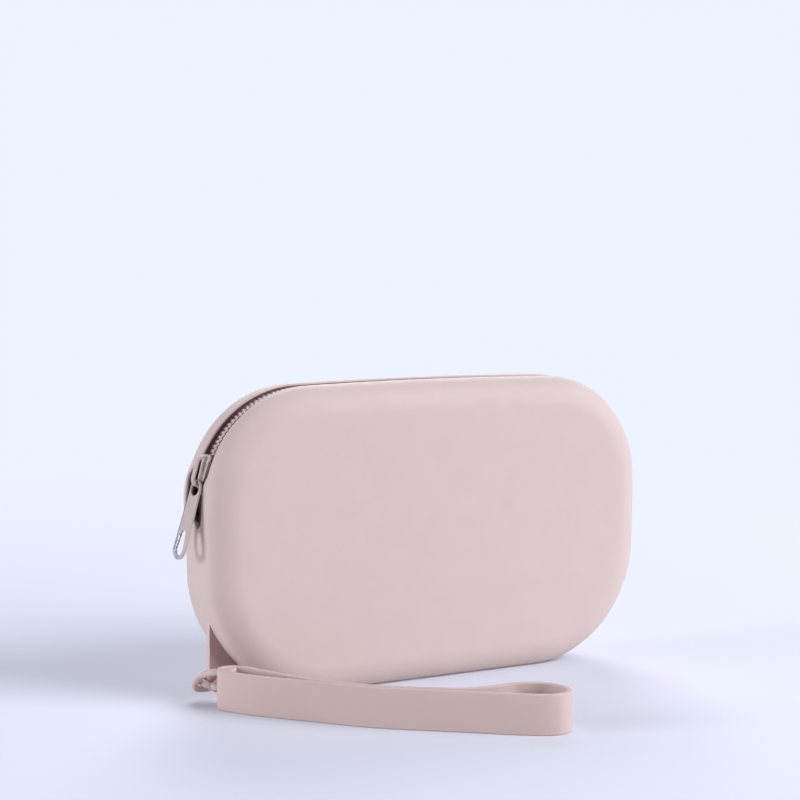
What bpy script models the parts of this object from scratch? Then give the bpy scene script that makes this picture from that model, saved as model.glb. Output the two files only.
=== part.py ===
"""Silicone zip pouch with a wrist strap, in metres: +X to the right, -Y to the front, +Z up.

The pouch stands on its flat base at z = 0, with its widest section in the plane y = 0.
One soft moulding makes the shell. It is cut here into a tub and two upper walls, which
swing outwards about the line where the real silicone flexes when the zip is open.
"""

import math

import bmesh
import bpy
from mathutils import Matrix, Vector

# Shell: overall sizes
WIDTH = 0.1724
HEIGHT = 0.104
FRONT_DEPTH = 0.0125
REAR_DEPTH = 0.0165
WALL = 0.002

# Shell: outline of the widest section, made of tangent arcs
TOP_CROWN_RADIUS = 1.85
TOP_CORNER_RADIUS = 0.038
SIDE_BOW_RADIUS = 0.45
SIDE_BOW_HEIGHT = 0.0543
BASE_CORNER_RADIUS = 0.043
BASE_CUT = 0.0005

# Shell: section through the side, a drafted band and then a soft edge
DRAFT = math.radians(5)
EDGE_DEPTH = 0.0075
EDGE_REACH = 0.0105
EDGE_STEPS = 6

# Shell: how many facets each arc of half the outline has
TOP_STEPS = 3
CORNER_STEPS = 12
SIDE_STEPS = 3
BASE_CORNER_STEPS = 10

# Opening: depths below the top of the pouch, and the play beside the slider
SLIDER_DROP = 0.0281
SLIT_DROP = 0.0462
FLEX_DROP = 0.0492
LIP_PLAY = 0.0004
SLIT_WIDTH = 0.0003

# Clearance between pieces that touch
SEAT_GAP = 0.0003

# Lug: the square plate that fills the lower left corner
LUG_INSET = 0.0036
LUG_THICKNESS = 0.0025
LUG_LOW = 0.0025
LUG_CORNER_RADIUS = 0.003
LUG_ROOT = 0.024
LUG_SLOT_OFFSET = 0.0048
LUG_SLOT_PLAY = 0.0006

# Zip: coil rows, tapes and stops
COIL_PITCH = 0.0018
COIL_BAR = 0.00055
COIL_HALF_WIDTH = 0.0025
COIL_SPINE = 0.001
COIL_PAST_CENTRE = 0.0009
COIL_HEIGHT = 0.0014
COIL_BAR_PROUD = 0.0002
TAPE_THICKNESS = 0.0005
TAPE_EDGE_STEPS = 3
STOP_LENGTH = 0.002
STOP_EDGE = 0.0004

# Slider
SLIDER_LENGTH = 0.0116
SLIDER_NOSE_WIDTH = 0.0072
SLIDER_TAIL_WIDTH = 0.0066
SLIDER_PLATE = 0.0009
SLIDER_BEVEL = 0.00025
SLIDER_COIL_PLAY = 0.0003
SLIDER_SIDE_PLAY = 0.0003
FLANGE_TAPE_PLAY = 0.0004
POST_LENGTH = 0.0024
POST_WIDTH = 0.0014
PRONG_HOLE = 0.0014

# Slider: how far its plates' corners are cut back, as shares of half their width
NOSE_END_SHARE = 0.6
NOSE_CUT_SHARE = 0.4
TAIL_CUT_SHARE = 0.3
TAIL_END_SHARE = 0.7

# Slider: the crown that the pull hangs from
CROWN_WIDTH = 0.002
CROWN_THICKNESS = 0.0009
CROWN_CLEARANCE = 0.0016
CROWN_BEND_RADIUS = 0.0012
CROWN_FOOT_INSET = 0.0005
CROWN_BEND_STEPS = 5

# Slider: the sprung strip under the crown, whose prong holds the coil
SPRING_WIDTH = 0.0012
SPRING_THICKNESS = 0.0003
SPRING_LENGTH = 0.003
SPRING_BEND_SHARE = 0.4
PRONG_LENGTH = 0.0009

# Pull
PULL_LENGTH = 0.0236
PULL_EYE_RADIUS = 0.0021
PULL_EYE_RIM = 0.0009
PULL_EYE_PLAY = 0.0006
PULL_END_RADIUS = 0.0036
PULL_THICKNESS = 0.001
PULL_RING_WALL = 0.0015
PULL_OPENING_LENGTH = 0.0082
PULL_OPENING_TOP = 0.0028
PULL_BEVEL = 0.00025
PULL_LEAN = math.radians(14)
PULL_TWIST = math.radians(6)
PULL_STEPS = 10

# Wrist strap: a flat band, folded into a loop that stands on its edge
STRAP_REACH = 0.1152
STRAP_HEIGHT = 0.013
STRAP_THICKNESS = 0.0018
STRAP_EDGE_ROUND = 0.0004
STRAP_BOW = 0.0075
STRAP_BULGE = 0.0154
STRAP_HEADING = math.radians(-47.5)
STRAP_SIDE_OFFSET = 0.002
STRAP_STANDOFF = 0.0133
STRAP_STEPS = 4

# Neck of the strap: a narrow cord that is wound twice through the lug
NECK_DIAMETER = 0.0022
NECK_PITCH = 0.0033
NECK_TOP = 0.0104
NECK_SLACK = 0.0035
NECK_PLAY = 0.0005
NECK_LEAD = 0.0018
NECK_TURN_POINTS = 8
NECK_POINTS = 14
NECK_FIRST_ANGLE = math.radians(-135)
NECK_INNER_TURN_SHARE = 0.8
NECK_EXIT_SHARE = 0.75
NECK_EXIT_DEPTH_SHARE = 1.1
NECK_SLOT_SHARE = 0.75
NECK_STEPS = 3

# One overrun serves every cut, and points nearer than the weld become one
OVERRUN = 0.01
WELD = 0.000001

NAME = "silicone_zip_pouch"

SILICONE = ("silicone", (0.66, 0.53, 0.54, 1), 0.62, 0.0)
TAPE = ("zip_tape", (0.30, 0.18, 0.19, 1), 0.85, 0.0)
COIL = ("zip_coil", (0.55, 0.42, 0.43, 1), 0.4, 0.0)
PAINT = ("painted_metal", (0.60, 0.47, 0.46, 1), 0.35, 0.3)
STEEL = ("bare_steel", (0.55, 0.54, 0.55, 1), 0.3, 1.0)


def clear_scene():
    for item in list(bpy.data.objects):
        bpy.data.objects.remove(item, do_unlink=True)


def make_collection(name):
    found = bpy.data.collections.new(name)
    bpy.context.scene.collection.children.link(found)
    return found


def material(kind):
    name, colour, roughness, metallic = kind
    found = bpy.data.materials.get(name)
    if found:
        return found
    found = bpy.data.materials.new(name)
    found.use_nodes = True
    shader = found.node_tree.nodes["Principled BSDF"]
    shader.inputs["Base Color"].default_value = colour
    shader.inputs["Roughness"].default_value = roughness
    shader.inputs["Metallic"].default_value = metallic
    return found


def add_object(name, mesh, kind, smooth_degrees=35):
    """A piece of the pouch: an object with its own material, shaded smooth but for sharp edges."""
    item = bpy.data.objects.new(name, mesh)
    PARTS.objects.link(item)
    mesh.materials.clear()
    mesh.materials.append(material(kind))
    mesh.shade_smooth()
    mesh.set_sharp_from_angle(angle=math.radians(smooth_degrees))
    return item


def add_cutter(name, mesh):
    item = bpy.data.objects.new(name, mesh)
    CUTTERS.objects.link(item)
    item.hide_render = True
    item.display_type = "WIRE"
    return item


def boolean(item, operation, other):
    modifier = item.modifiers.new(other.name, "BOOLEAN")
    modifier.operation = operation
    modifier.object = other
    modifier.solver = "EXACT"
    return modifier


def bevel(item, width, segments=2, degrees=40):
    modifier = item.modifiers.new("edges", "BEVEL")
    modifier.width = width
    modifier.segments = segments
    modifier.limit_method = "ANGLE"
    modifier.angle_limit = math.radians(degrees)
    return modifier


def mesh_from(builder, name):
    """Runs builder on an empty bmesh and keeps what it made, with its faces pointing out."""
    bm = bmesh.new()
    builder(bm)
    bmesh.ops.recalc_face_normals(bm, faces=bm.faces)
    mesh = bpy.data.meshes.new(name)
    bm.to_mesh(mesh)
    bm.free()
    return mesh


def loft(name, rings, closed=False):
    """A skin through rings that have the same number of points, capped unless it closes on itself."""

    def build(bm):
        rows = [[bm.verts.new(point) for point in ring] for ring in rings]
        pairs = list(zip(rows, rows[1:]))
        if closed:
            pairs.append((rows[-1], rows[0]))
        for low, high in pairs:
            for k in range(len(low)):
                after = (k + 1) % len(low)
                bm.faces.new((low[k], low[after], high[after], high[k]))
        if not closed:
            bm.faces.new(rows[0])
            bm.faces.new(rows[-1])

    return mesh_from(build, name)


def box(name, low, high):
    def build(bm):
        size = [b - a for a, b in zip(low, high)]
        middle = [(a + b) / 2 for a, b in zip(low, high)]
        place = Matrix.Translation(middle) @ Matrix.Diagonal((*size, 1))
        bmesh.ops.create_cube(bm, size=1, matrix=place)

    return mesh_from(build, name)


def plate(name, outlines, thickness):
    """A flat plate in its own XY plane. The first outline is its edge and the others are holes."""
    curve = bpy.data.curves.new(name, "CURVE")
    curve.dimensions = "2D"
    curve.fill_mode = "BOTH"
    curve.extrude = thickness / 2
    for outline in outlines:
        spline = curve.splines.new("POLY")
        spline.points.add(len(outline) - 1)
        for point, (x, y) in zip(spline.points, outline):
            point.co = (x, y, 0, 1)
        spline.use_cyclic_u = True
    return curve_mesh(name, curve)


def tube(name, points, radius):
    curve = bpy.data.curves.new(name, "CURVE")
    curve.dimensions = "3D"
    curve.bevel_depth = radius
    curve.bevel_resolution = 2
    curve.use_fill_caps = True
    spline = curve.splines.new("POLY")
    spline.points.add(len(points) - 1)
    for point, place in zip(spline.points, points):
        point.co = (*place, 1)
    return curve_mesh(name, curve)


def curve_mesh(name, curve):
    """The curve as a mesh whose caps are welded to its sides. The curve is removed."""
    holder = bpy.data.objects.new(name + "_curve", curve)
    bpy.context.scene.collection.objects.link(holder)
    graph = bpy.context.evaluated_depsgraph_get()
    made = bpy.data.meshes.new_from_object(holder.evaluated_get(graph))
    bpy.data.objects.remove(holder, do_unlink=True)
    bpy.data.curves.remove(curve)

    def build(bm):
        bm.from_mesh(made)
        bmesh.ops.remove_doubles(bm, verts=bm.verts, dist=WELD)

    mesh = mesh_from(build, name)
    bpy.data.meshes.remove(made)
    return mesh


def arc_points(centre, radius, start, end, steps):
    """Points from start to end round a centre in a plane, both ends included."""
    angles = [start + (end - start) * k / steps for k in range(steps + 1)]
    return [(centre[0] + radius * math.cos(a), centre[1] + radius * math.sin(a)) for a in angles]


def smooth_path(points, steps, closed=False):
    """A Catmull-Rom curve through the points, with so many steps between each two."""
    points = [Vector(point) for point in points]
    count = len(points)
    spans = count if closed else count - 1
    found = []
    for k in range(spans):
        if closed:
            a, b, c, d = (points[(k + j) % count] for j in (-1, 0, 1, 2))
        else:
            a, b, c, d = (points[min(max(k + j, 0), count - 1)] for j in (-1, 0, 1, 2))
        for step in range(steps):
            t = step / steps
            found.append(
                0.5 * ((2 * b) + (c - a) * t + (2 * a - 5 * b + 4 * c - d) * t**2
                       + (3 * b - a - 3 * c + d) * t**3)
            )
    if not closed:
        found.append(points[-1])
    return found


def outline_arcs():
    """The right half of the widest section, top to base, as (centre x, z, radius, start, end)."""
    crown = (0, HEIGHT - TOP_CROWN_RADIUS)
    side = (WIDTH / 2 - SIDE_BOW_RADIUS, SIDE_BOW_HEIGHT)
    from_crown = TOP_CROWN_RADIUS - TOP_CORNER_RADIUS
    from_side = SIDE_BOW_RADIUS - TOP_CORNER_RADIUS
    dx, dz = side[0] - crown[0], side[1] - crown[1]
    apart = math.hypot(dx, dz)
    along = (from_crown**2 - from_side**2 + apart**2) / (2 * apart)
    across = math.sqrt(from_crown**2 - along**2)
    corner = (
        crown[0] + (dx * along + dz * across) / apart,
        crown[1] + (dz * along - dx * across) / apart,
    )
    base_z = BASE_CORNER_RADIUS - BASE_CUT
    reach = SIDE_BOW_RADIUS - BASE_CORNER_RADIUS
    base = (side[0] + math.sqrt(reach**2 - (base_z - side[1]) ** 2), base_z)
    turn = math.pi / 2
    crown_end = math.atan2(corner[1] - crown[1], corner[0] - crown[0])
    side_start = math.atan2(corner[1] - side[1], corner[0] - side[0])
    side_end = math.atan2(base[1] - side[1], base[0] - side[0])
    return [
        (*crown, TOP_CROWN_RADIUS, turn, crown_end),
        (*corner, TOP_CORNER_RADIUS, crown_end, side_start),
        (*side, SIDE_BOW_RADIUS, side_start, side_end),
        (*base, BASE_CORNER_RADIUS, side_end, -turn),
    ]


def outline(inset):
    """The closed outline, drawn in from the widest section by inset, as (x, z) points."""
    half = []
    steps = (TOP_STEPS, CORNER_STEPS, SIDE_STEPS, BASE_CORNER_STEPS)
    for (cx, cz, radius, start, end), count in zip(ARCS, steps):
        half += arc_points((cx, cz), radius - inset, start, end, count)[:-1]
    cx, cz, radius, start, end = ARCS[-1]
    half.append((cx, cz - radius + inset))
    return half + [(-x, z) for x, z in reversed(half[1:])]


def station(distance):
    """(x, z, outward angle) on the widest section, at a distance along it from the top's middle."""
    left = abs(distance)
    for cx, cz, radius, start, end in ARCS:
        length = radius * (start - end)
        if left <= length:
            break
        left -= length
    angle = start - left / radius
    x, z = cx + radius * math.cos(angle), cz + radius * math.sin(angle)
    if distance < 0:
        return -x, z, math.pi - angle
    return x, z, angle


def distance_at(height):
    """How far along the section from the top's middle its side is at this height."""
    total = 0
    for cx, cz, radius, start, end in ARCS[1:]:
        low = cz + radius * math.sin(end)
        if height >= low:
            break
    for arc in ARCS:
        if arc[:2] == (cx, cz):
            break
        total += arc[2] * (arc[3] - arc[4])
    return total + radius * (start - math.asin((height - cz) / radius))


def on_path(distance, depth, lift):
    """The point over the widest section at this distance, at depth y and lifted outwards by lift."""
    x, z, angle = station(distance)
    return (x + lift * math.cos(angle), depth, z + lift * math.sin(angle))


def half_profile(sign, offset):
    """(depth, inset) from the drafted band to the front (-1) or rear (1) face, drawn in by offset."""
    total = FRONT_DEPTH if sign < 0 else REAR_DEPTH
    band = total - EDGE_DEPTH
    full = EDGE_DEPTH - offset
    reach = EDGE_REACH - offset
    inset = band * math.tan(DRAFT) + offset
    found = []
    for k in range(EDGE_STEPS + 1):
        angle = math.pi / 2 * k / EDGE_STEPS
        depth = band + full * math.sin(angle)
        found.append((sign * depth, inset + reach * (1 - math.cos(angle))))
    return found


def side_profile(offset):
    return list(reversed(half_profile(-1, offset))) + [(0, offset)] + half_profile(1, offset)


def shell_solid(name, offset):
    rings = []
    for depth, inset in side_profile(offset):
        rings.append([(x, depth, z) for x, z in outline(inset)])
    return loft(name, rings)


def yz_prism(name, outline_points, half_length):
    """A prism along X whose section is an outline of (y, z) points."""
    rings = [[(x, y, z) for y, z in outline_points] for x in (-half_length, half_length)]
    return loft(name, rings)


def lug_mesh():
    """The lug's plate, from its outer edge to well inside the shell."""
    edge = -WIDTH / 2 + LUG_INSET
    root = edge + LUG_ROOT
    corner = (edge + LUG_CORNER_RADIUS, LUG_LOW + LUG_CORNER_RADIUS)
    points = arc_points(corner, LUG_CORNER_RADIUS, math.pi, 1.5 * math.pi, PULL_STEPS // 2)
    points += [(root, LUG_LOW), (root, LUG_LOW + LUG_ROOT), (edge, LUG_LOW + LUG_ROOT)]
    radius = NECK_DIAMETER / 2 + LUG_SLOT_PLAY
    centre_x = edge + LUG_SLOT_OFFSET
    slot = arc_points((centre_x, SLOT_HIGH), radius, 0, math.pi, PULL_STEPS // 2)
    slot += arc_points((centre_x, SLOT_LOW), radius, math.pi, 2 * math.pi, PULL_STEPS // 2)
    mesh = plate("lug", [points, slot], LUG_THICKNESS)
    mesh.transform(Matrix.Rotation(math.pi / 2, 4, "X"))
    return mesh


def make_shell():
    """The tub with its lug, and the two upper walls, all cut from one moulding."""
    reach = WIDTH / 2 + OVERRUN
    deep = max(FRONT_DEPTH, REAR_DEPTH) + OVERRUN
    high = HEIGHT + OVERRUN
    flex = HEIGHT - FLEX_DROP
    gap = SEAT_GAP / 2

    def slab(name, low, top):
        return add_cutter(name, box(name, (-reach, -deep, low), (reach, deep, top)))

    below = slab("below_base", -OVERRUN, 0)
    thin = slab("below_floor", -OVERRUN, WALL)
    above = slab("above_flex", flex - gap, high)
    under = slab("under_flex", -OVERRUN, flex + gap)
    cavity = add_cutter("cavity", shell_solid("cavity", WALL))
    boolean(cavity, "DIFFERENCE", thin)
    lug = add_cutter("lug", lug_mesh())

    slit = SLIT_WIDTH / 2
    slit_z = HEIGHT - SLIT_DROP
    for sign, name in ((-1, "front_upper_shell"), (1, "rear_upper_shell")):
        near = [(slit, -OVERRUN), (slit, slit_z), (GROOVE, GROOVE_LOW), (GROOVE, high)]
        points = [(sign * y, z) for y, z in near + [(-deep, high), (-deep, -OVERRUN)]]
        other = add_cutter(name + "_cut", yz_prism(name + "_cut", points, reach))
        wall = add_object(name, shell_solid(name, 0), SILICONE)
        for cutter in (cavity, under, other):
            boolean(wall, "DIFFERENCE", cutter)
        hinge = bpy.data.objects.new(name + "_flex_line", None)
        PARTS.objects.link(hinge)
        hinge.location = (0, -FRONT_DEPTH if sign < 0 else REAR_DEPTH, flex)
        wall.data.transform(Matrix.Translation(-hinge.location))
        wall.parent = hinge

    tub = add_object("lower_shell", shell_solid("lower_shell", 0), SILICONE)
    boolean(tub, "UNION", lug)
    for cutter in (cavity, below, above):
        boolean(tub, "DIFFERENCE", cutter)


def coil_row(name, sign):
    """A row of the zip's coil: a spine along the tape and the bars that mesh past the middle."""
    low, high = -WALL, -WALL + COIL_HEIGHT
    outer, inner = sign * COIL_HALF_WIDTH, sign * (COIL_HALF_WIDTH - COIL_SPINE)
    top = high - COIL_BAR_PROUD
    rings = []
    for distance in path_steps(CHAIN_HALF):
        corners = ((outer, low), (inner, low), (inner, top), (outer, top))
        rings.append([on_path(distance, depth, lift) for depth, lift in corners])
    row = add_object(name, loft(name, rings), COIL)

    count = int((2 * CHAIN_HALF - COIL_PITCH) / COIL_PITCH)
    first = -(count - 1) / 2 * COIL_PITCH + sign * COIL_PITCH / 4
    head = -sign * COIL_PAST_CENTRE
    root = (outer + inner) / 2

    def bars(bm):
        for k in range(count):
            x, z, angle = station(first + k * COIL_PITCH)
            lift = (low + high) / 2
            place = Matrix.Translation(
                (x + lift * math.cos(angle), (root + head) / 2, z + lift * math.sin(angle))
            )
            turn = Matrix.Rotation(-angle, 4, "Y")
            size = Matrix.Diagonal((high - low, abs(root - head), COIL_BAR, 1))
            bmesh.ops.create_cube(bm, size=1, matrix=place @ turn @ size)

    boolean(row, "UNION", add_cutter(name + "_bars", mesh_from(bars, name + "_bars")))
    return row


def path_steps(half_length):
    """Distances along the zip at which its curve needs a point, from the left end to the right."""
    found = [0]
    reached = 0
    for (cx, cz, radius, start, end), steps in zip(ARCS, (TOP_STEPS, CORNER_STEPS, SIDE_STEPS)):
        length = radius * (start - end)
        for k in range(1, steps + 1):
            place = reached + length * k / steps
            if place < half_length - COIL_BAR:
                found.append(place)
        reached += length
    found.append(half_length)
    return [-place for place in reversed(found[1:])] + found


def tape(name, sign):
    """Half of the zip's tape, seated under the shell's wall and under its own coil row."""
    section = [(sign * (POST_WIDTH / 2 + SEAT_GAP), WALL)] + half_profile(sign, WALL)[: TAPE_EDGE_STEPS + 1]
    rings = []
    for distance in path_steps(TAPE_HALF):
        upper = [(depth, -inset - SEAT_GAP) for depth, inset in section]
        lower = [(depth, lift - TAPE_THICKNESS) for depth, lift in reversed(upper)]
        rings.append([on_path(distance, d, lift) for d, lift in upper + lower])
    return add_object(name, loft(name, rings), TAPE)


def stop_block(name, near, far, inner, outer):
    """A block clamped on the tape between two distances along the zip."""
    low, high = -WALL, -WALL + COIL_HEIGHT
    corners = ((inner, low), (outer, low), (outer, high), (inner, high))
    rings = [[on_path(d, depth, lift) for depth, lift in corners] for d in (near, far)]
    item = add_object(name, loft(name, rings), PAINT)
    bevel(item, COIL_BAR_PROUD, 1)
    return item


def make_zip():
    coil_row("front_coil", -1)
    coil_row("rear_coil", 1)
    tape("front_tape", -1)
    tape("rear_tape", 1)
    near, far = -STOPS_FROM, -STOPS_TO
    stop_block("front_top_stop", near, far, -STOP_EDGE, -COIL_HALF_WIDTH)
    stop_block("rear_top_stop", near, far, STOP_EDGE, COIL_HALF_WIDTH)
    stop_block("bottom_stop", STOPS_FROM, STOPS_TO, -COIL_HALF_WIDTH, COIL_HALF_WIDTH)


def slider_frame():
    """An empty at the centre of the top left corner's arc: +X out to the slider, +Z down the zip."""
    cx, cz = CORNER[0], CORNER[1]
    item = bpy.data.objects.new("slider_pivot", None)
    PARTS.objects.link(item)
    item.location = (-cx, 0, cz)
    item.rotation_euler = (0, math.pi + SLIDER_ANGLE, 0)
    return item


def slider_plate(name, low, high):
    """A slider plate in the slider's frame, wider at its nose, which is its lower end here."""
    half = SLIDER_LENGTH / 2
    nose, tail = SLIDER_NOSE_WIDTH / 2, SLIDER_TAIL_WIDTH / 2
    side = [(half, nose * NOSE_END_SHARE), (half - nose * NOSE_CUT_SHARE, nose)]
    side += [(-half + tail * TAIL_CUT_SHARE, tail), (-half, tail * TAIL_END_SHARE)]
    points = [(y, z) for z, y in side] + [(-y, z) for z, y in reversed(side)]
    rings = [[(lift, y, z) for y, z in points] for lift in (low, high)]
    return loft(name, rings)


def make_slider(pivot):
    base = TOP_CORNER_RADIUS
    half = SLIDER_LENGTH / 2
    outer = slider_plate("slider_body", base + OUTER_LOW, base + OUTER_HIGH)
    body = add_object("slider_body", outer, PAINT)
    body.parent = pivot
    inner = slider_plate("slider_inner", base + INNER_LOW, base + INNER_HIGH)
    inner = add_cutter("slider_inner", inner)
    inner.parent = pivot
    boolean(body, "UNION", inner)
    channel = COIL_HALF_WIDTH + SLIDER_SIDE_PLAY
    flange_low = base - WALL - SEAT_GAP + FLANGE_TAPE_PLAY
    flange_end = half - SLIDER_PLATE
    sink = SLIDER_PLATE / 2
    outside = base + OUTER_LOW + sink
    for sign, side in ((-1, "front"), (1, "rear")):
        low_y, high_y = sorted((sign * channel, sign * SLIDER_TAIL_WIDTH / 2))
        mesh = box("flange_" + side, (flange_low, low_y, -flange_end), (outside, high_y, flange_end))
        flange = add_cutter("flange_" + side, mesh)
        flange.parent = pivot
        boolean(body, "UNION", flange)
    post = box(
        "post",
        (base + INNER_HIGH - sink, -POST_WIDTH / 2, half - POST_LENGTH),
        (outside, POST_WIDTH / 2, half - SLIDER_BEVEL * 2),
    )
    post = add_cutter("post", post)
    post.parent = pivot
    boolean(body, "UNION", post)
    hole = box(
        "prong_hole",
        (base + OUTER_LOW - sink, -PRONG_HOLE / 2, -PRONG_HOLE / 2),
        (base + OUTER_HIGH + sink, PRONG_HOLE / 2, PRONG_HOLE / 2),
    )
    hole = add_cutter("prong_hole", hole)
    hole.parent = pivot
    boolean(body, "DIFFERENCE", hole)


def strip(name, route, width, thickness, kind):
    """A flat strip along a route of (x, z) points in the plane y = 0."""
    rings = []
    for k, place in enumerate(route):
        before, after = route[max(k - 1, 0)], route[min(k + 1, len(route) - 1)]
        along = Vector((after[0] - before[0], after[1] - before[1])).normalized()
        side = Vector((-along[1], along[0])) * thickness / 2
        ring = []
        for sign, y in ((1, -1), (1, 1), (-1, 1), (-1, -1)):
            ring.append((place[0] + sign * side[0], y * width / 2, place[1] + sign * side[1]))
        rings.append(ring)
    return add_object(name, loft(name, rings), kind)


def make_crown(pivot):
    """The bail over the slider: a leg at the nose, a bend, a straight back, a long bend at the tail."""
    foot = TOP_CORNER_RADIUS + OUTER_HIGH + SEAT_GAP
    top = foot + CROWN_CLEARANCE + CROWN_THICKNESS / 2
    radius = CROWN_BEND_RADIUS
    low = (top - radius, CROWN_LEG - radius)
    long_radius = top - foot
    high = (foot, -CROWN_LEG + long_radius)
    route = arc_points(high, long_radius, -math.pi / 2, 0, CROWN_BEND_STEPS)
    route += arc_points(low, radius, 0, math.pi / 2, CROWN_BEND_STEPS) + [(foot, CROWN_LEG)]
    crown = strip("slider_crown", route, CROWN_WIDTH, CROWN_THICKNESS, PAINT)
    crown.parent = pivot


def make_spring(pivot):
    """The sprung strip under the crown. Its prong drops through the outer plate between the coil's bars."""
    base = TOP_CORNER_RADIUS
    seat = base + OUTER_HIGH + SEAT_GAP + SPRING_THICKNESS / 2
    bend = SPRING_THICKNESS * SPRING_BEND_SHARE
    route = [(seat, -SPRING_LENGTH), (seat, -SPRING_THICKNESS), (seat - bend, -bend)]
    route += [(seat - SPRING_THICKNESS, 0), (seat - SPRING_THICKNESS - PRONG_LENGTH, 0)]
    spring = strip("lock_spring", route, SPRING_WIDTH, SPRING_THICKNESS, STEEL)
    spring.parent = pivot


def make_pull(pivot):
    """The pull: an eye that the crown passes through, a tab that widens downwards and an open end."""
    axis = bpy.data.objects.new("pull_pivot", None)
    PARTS.objects.link(axis)
    axis.parent = pivot
    axis.location = (PULL_PIVOT[0], 0, PULL_PIVOT[1])
    axis.rotation_euler = (0, -(math.pi + SLIDER_ANGLE) + PULL_LEAN, 0)

    top_r = PULL_EYE_RADIUS + PULL_EYE_RIM
    end_y = -(PULL_LENGTH - PULL_END_RADIUS)
    flare = math.asin((PULL_END_RADIUS - top_r) / -end_y)
    edge = arc_points((0, 0), top_r, -flare, math.pi + flare, PULL_STEPS)
    edge += arc_points((0, end_y), PULL_END_RADIUS, math.pi + flare, 2 * math.pi - flare, PULL_STEPS)
    eye = arc_points((0, 0), PULL_EYE_RADIUS, 0, 2 * math.pi, 2 * PULL_STEPS)[:-1]
    low_r = PULL_END_RADIUS - PULL_RING_WALL
    high_r = PULL_OPENING_TOP / 2
    high_y = end_y + PULL_OPENING_LENGTH - low_r - high_r
    slant = math.asin((low_r - high_r) / (high_y - end_y))
    opening = arc_points((0, high_y), high_r, slant, math.pi - slant, PULL_STEPS // 2)
    opening += arc_points((0, end_y), low_r, math.pi - slant, 2 * math.pi + slant, PULL_STEPS)
    mesh = plate("pull_tab", [edge, eye, opening], PULL_THICKNESS)
    # The plate's X becomes the tab's width along Y, its Y the tab's length along Z
    mesh.transform(Matrix(((0, 0, 1, 0), (1, 0, 0, 0), (0, 1, 0, 0), (0, 0, 0, 1))))
    mesh.transform(Matrix.Rotation(PULL_TWIST, 4, "Z"))
    mesh.transform(Matrix.Translation((0, 0, -PULL_EYE_RADIUS - PULL_EYE_RIM / 2)))
    tab = add_object("pull_tab", mesh, PAINT)
    bevel(tab, PULL_BEVEL, 1, 60)
    tab.parent = axis


def strap_frame():
    """Where the strap starts, which way it runs and which way is across it, towards the pouch."""
    along = Vector((math.cos(STRAP_HEADING), math.sin(STRAP_HEADING), 0))
    across = Vector((-along.y, along.x, 0))
    start = Vector((-WIDTH / 2 + LUG_INSET - STRAP_SIDE_OFFSET, -STRAP_STANDOFF, 0))
    return start, along, across


# The strap's loop, seen from above: shares of its reach, of its bow, of the way to the rear run
# and of the bulge between the runs. The front run comes first, then the fold, the rear run and
# the closed end beside the lug.
STRAP_SHARES = [
    (0.037, 0.27, 0.0, 0.0), (0.133, 0.61, 0.0, 0.0), (0.311, 0.84, 0.0, 0.0), (0.486, 1.0, 0.0, 0.0),
    (0.70, 0.61, 0.0, 0.0), (0.89, 0.27, 0.0, 0.0), (0.973, 0.15, 0.11, 1.0), (1.0, 0.1, 0.43, 1.0),
    (0.97, 0.12, 0.785, 1.0), (0.905, 0.27, 1.0, 1.0), (0.836, 0.36, 1.0, 0.85), (0.776, 0.48, 1.0, 0.48),
    (0.703, 0.61, 1.0, 0.143), (0.60, 0.80, 1.0, 0.04), (0.486, 1.0, 1.0, 0.03), (0.377, 0.92, 1.0, 0.03),
    (0.311, 0.84, 1.0, 0.05), (0.23, 0.75, 1.0, 0.17), (0.133, 0.61, 1.0, 0.39), (0.06, 0.36, 1.0, 0.48),
    (0.013, 0.2, 0.9, 0.48), (-0.009, 0.1, 0.45, 0.48), (0.002, 0.1, 0.1, 0.48),
]
STRAP_CLOSED_END_SHARE = STRAP_SHARES[21]


def strap_point(shares):
    reach, bow, way, bulge = shares
    start, along, across = strap_frame()
    sideways = -bow * STRAP_BOW + way * (STRAP_THICKNESS + bulge * STRAP_BULGE)
    return start + along * reach * STRAP_REACH + across * sideways


def make_strap(pivot):
    route = smooth_path([strap_point(shares) for shares in STRAP_SHARES], STRAP_STEPS, closed=True)
    half_t, half_h, cut = STRAP_THICKNESS / 2, STRAP_HEIGHT / 2, STRAP_EDGE_ROUND
    section = []
    for sx, sz in ((1, -1), (1, 1), (-1, 1), (-1, -1)):
        near = (sx * half_t, sz * (half_h - cut))
        far = (sx * (half_t - cut), sz * half_h)
        section += [near, far] if sx == sz else [far, near]
    rings = []
    for k, place in enumerate(route):
        along = (route[(k + 1) % len(route)] - route[k - 1]).normalized()
        side = Vector((along.y, -along.x, 0))
        rings.append([place + side * t + Vector((0, 0, half_h + h)) - pivot.location for t, h in section])
    band = add_object("wrist_strap", loft("wrist_strap", rings, closed=True), SILICONE, 50)
    band.parent = pivot


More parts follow.
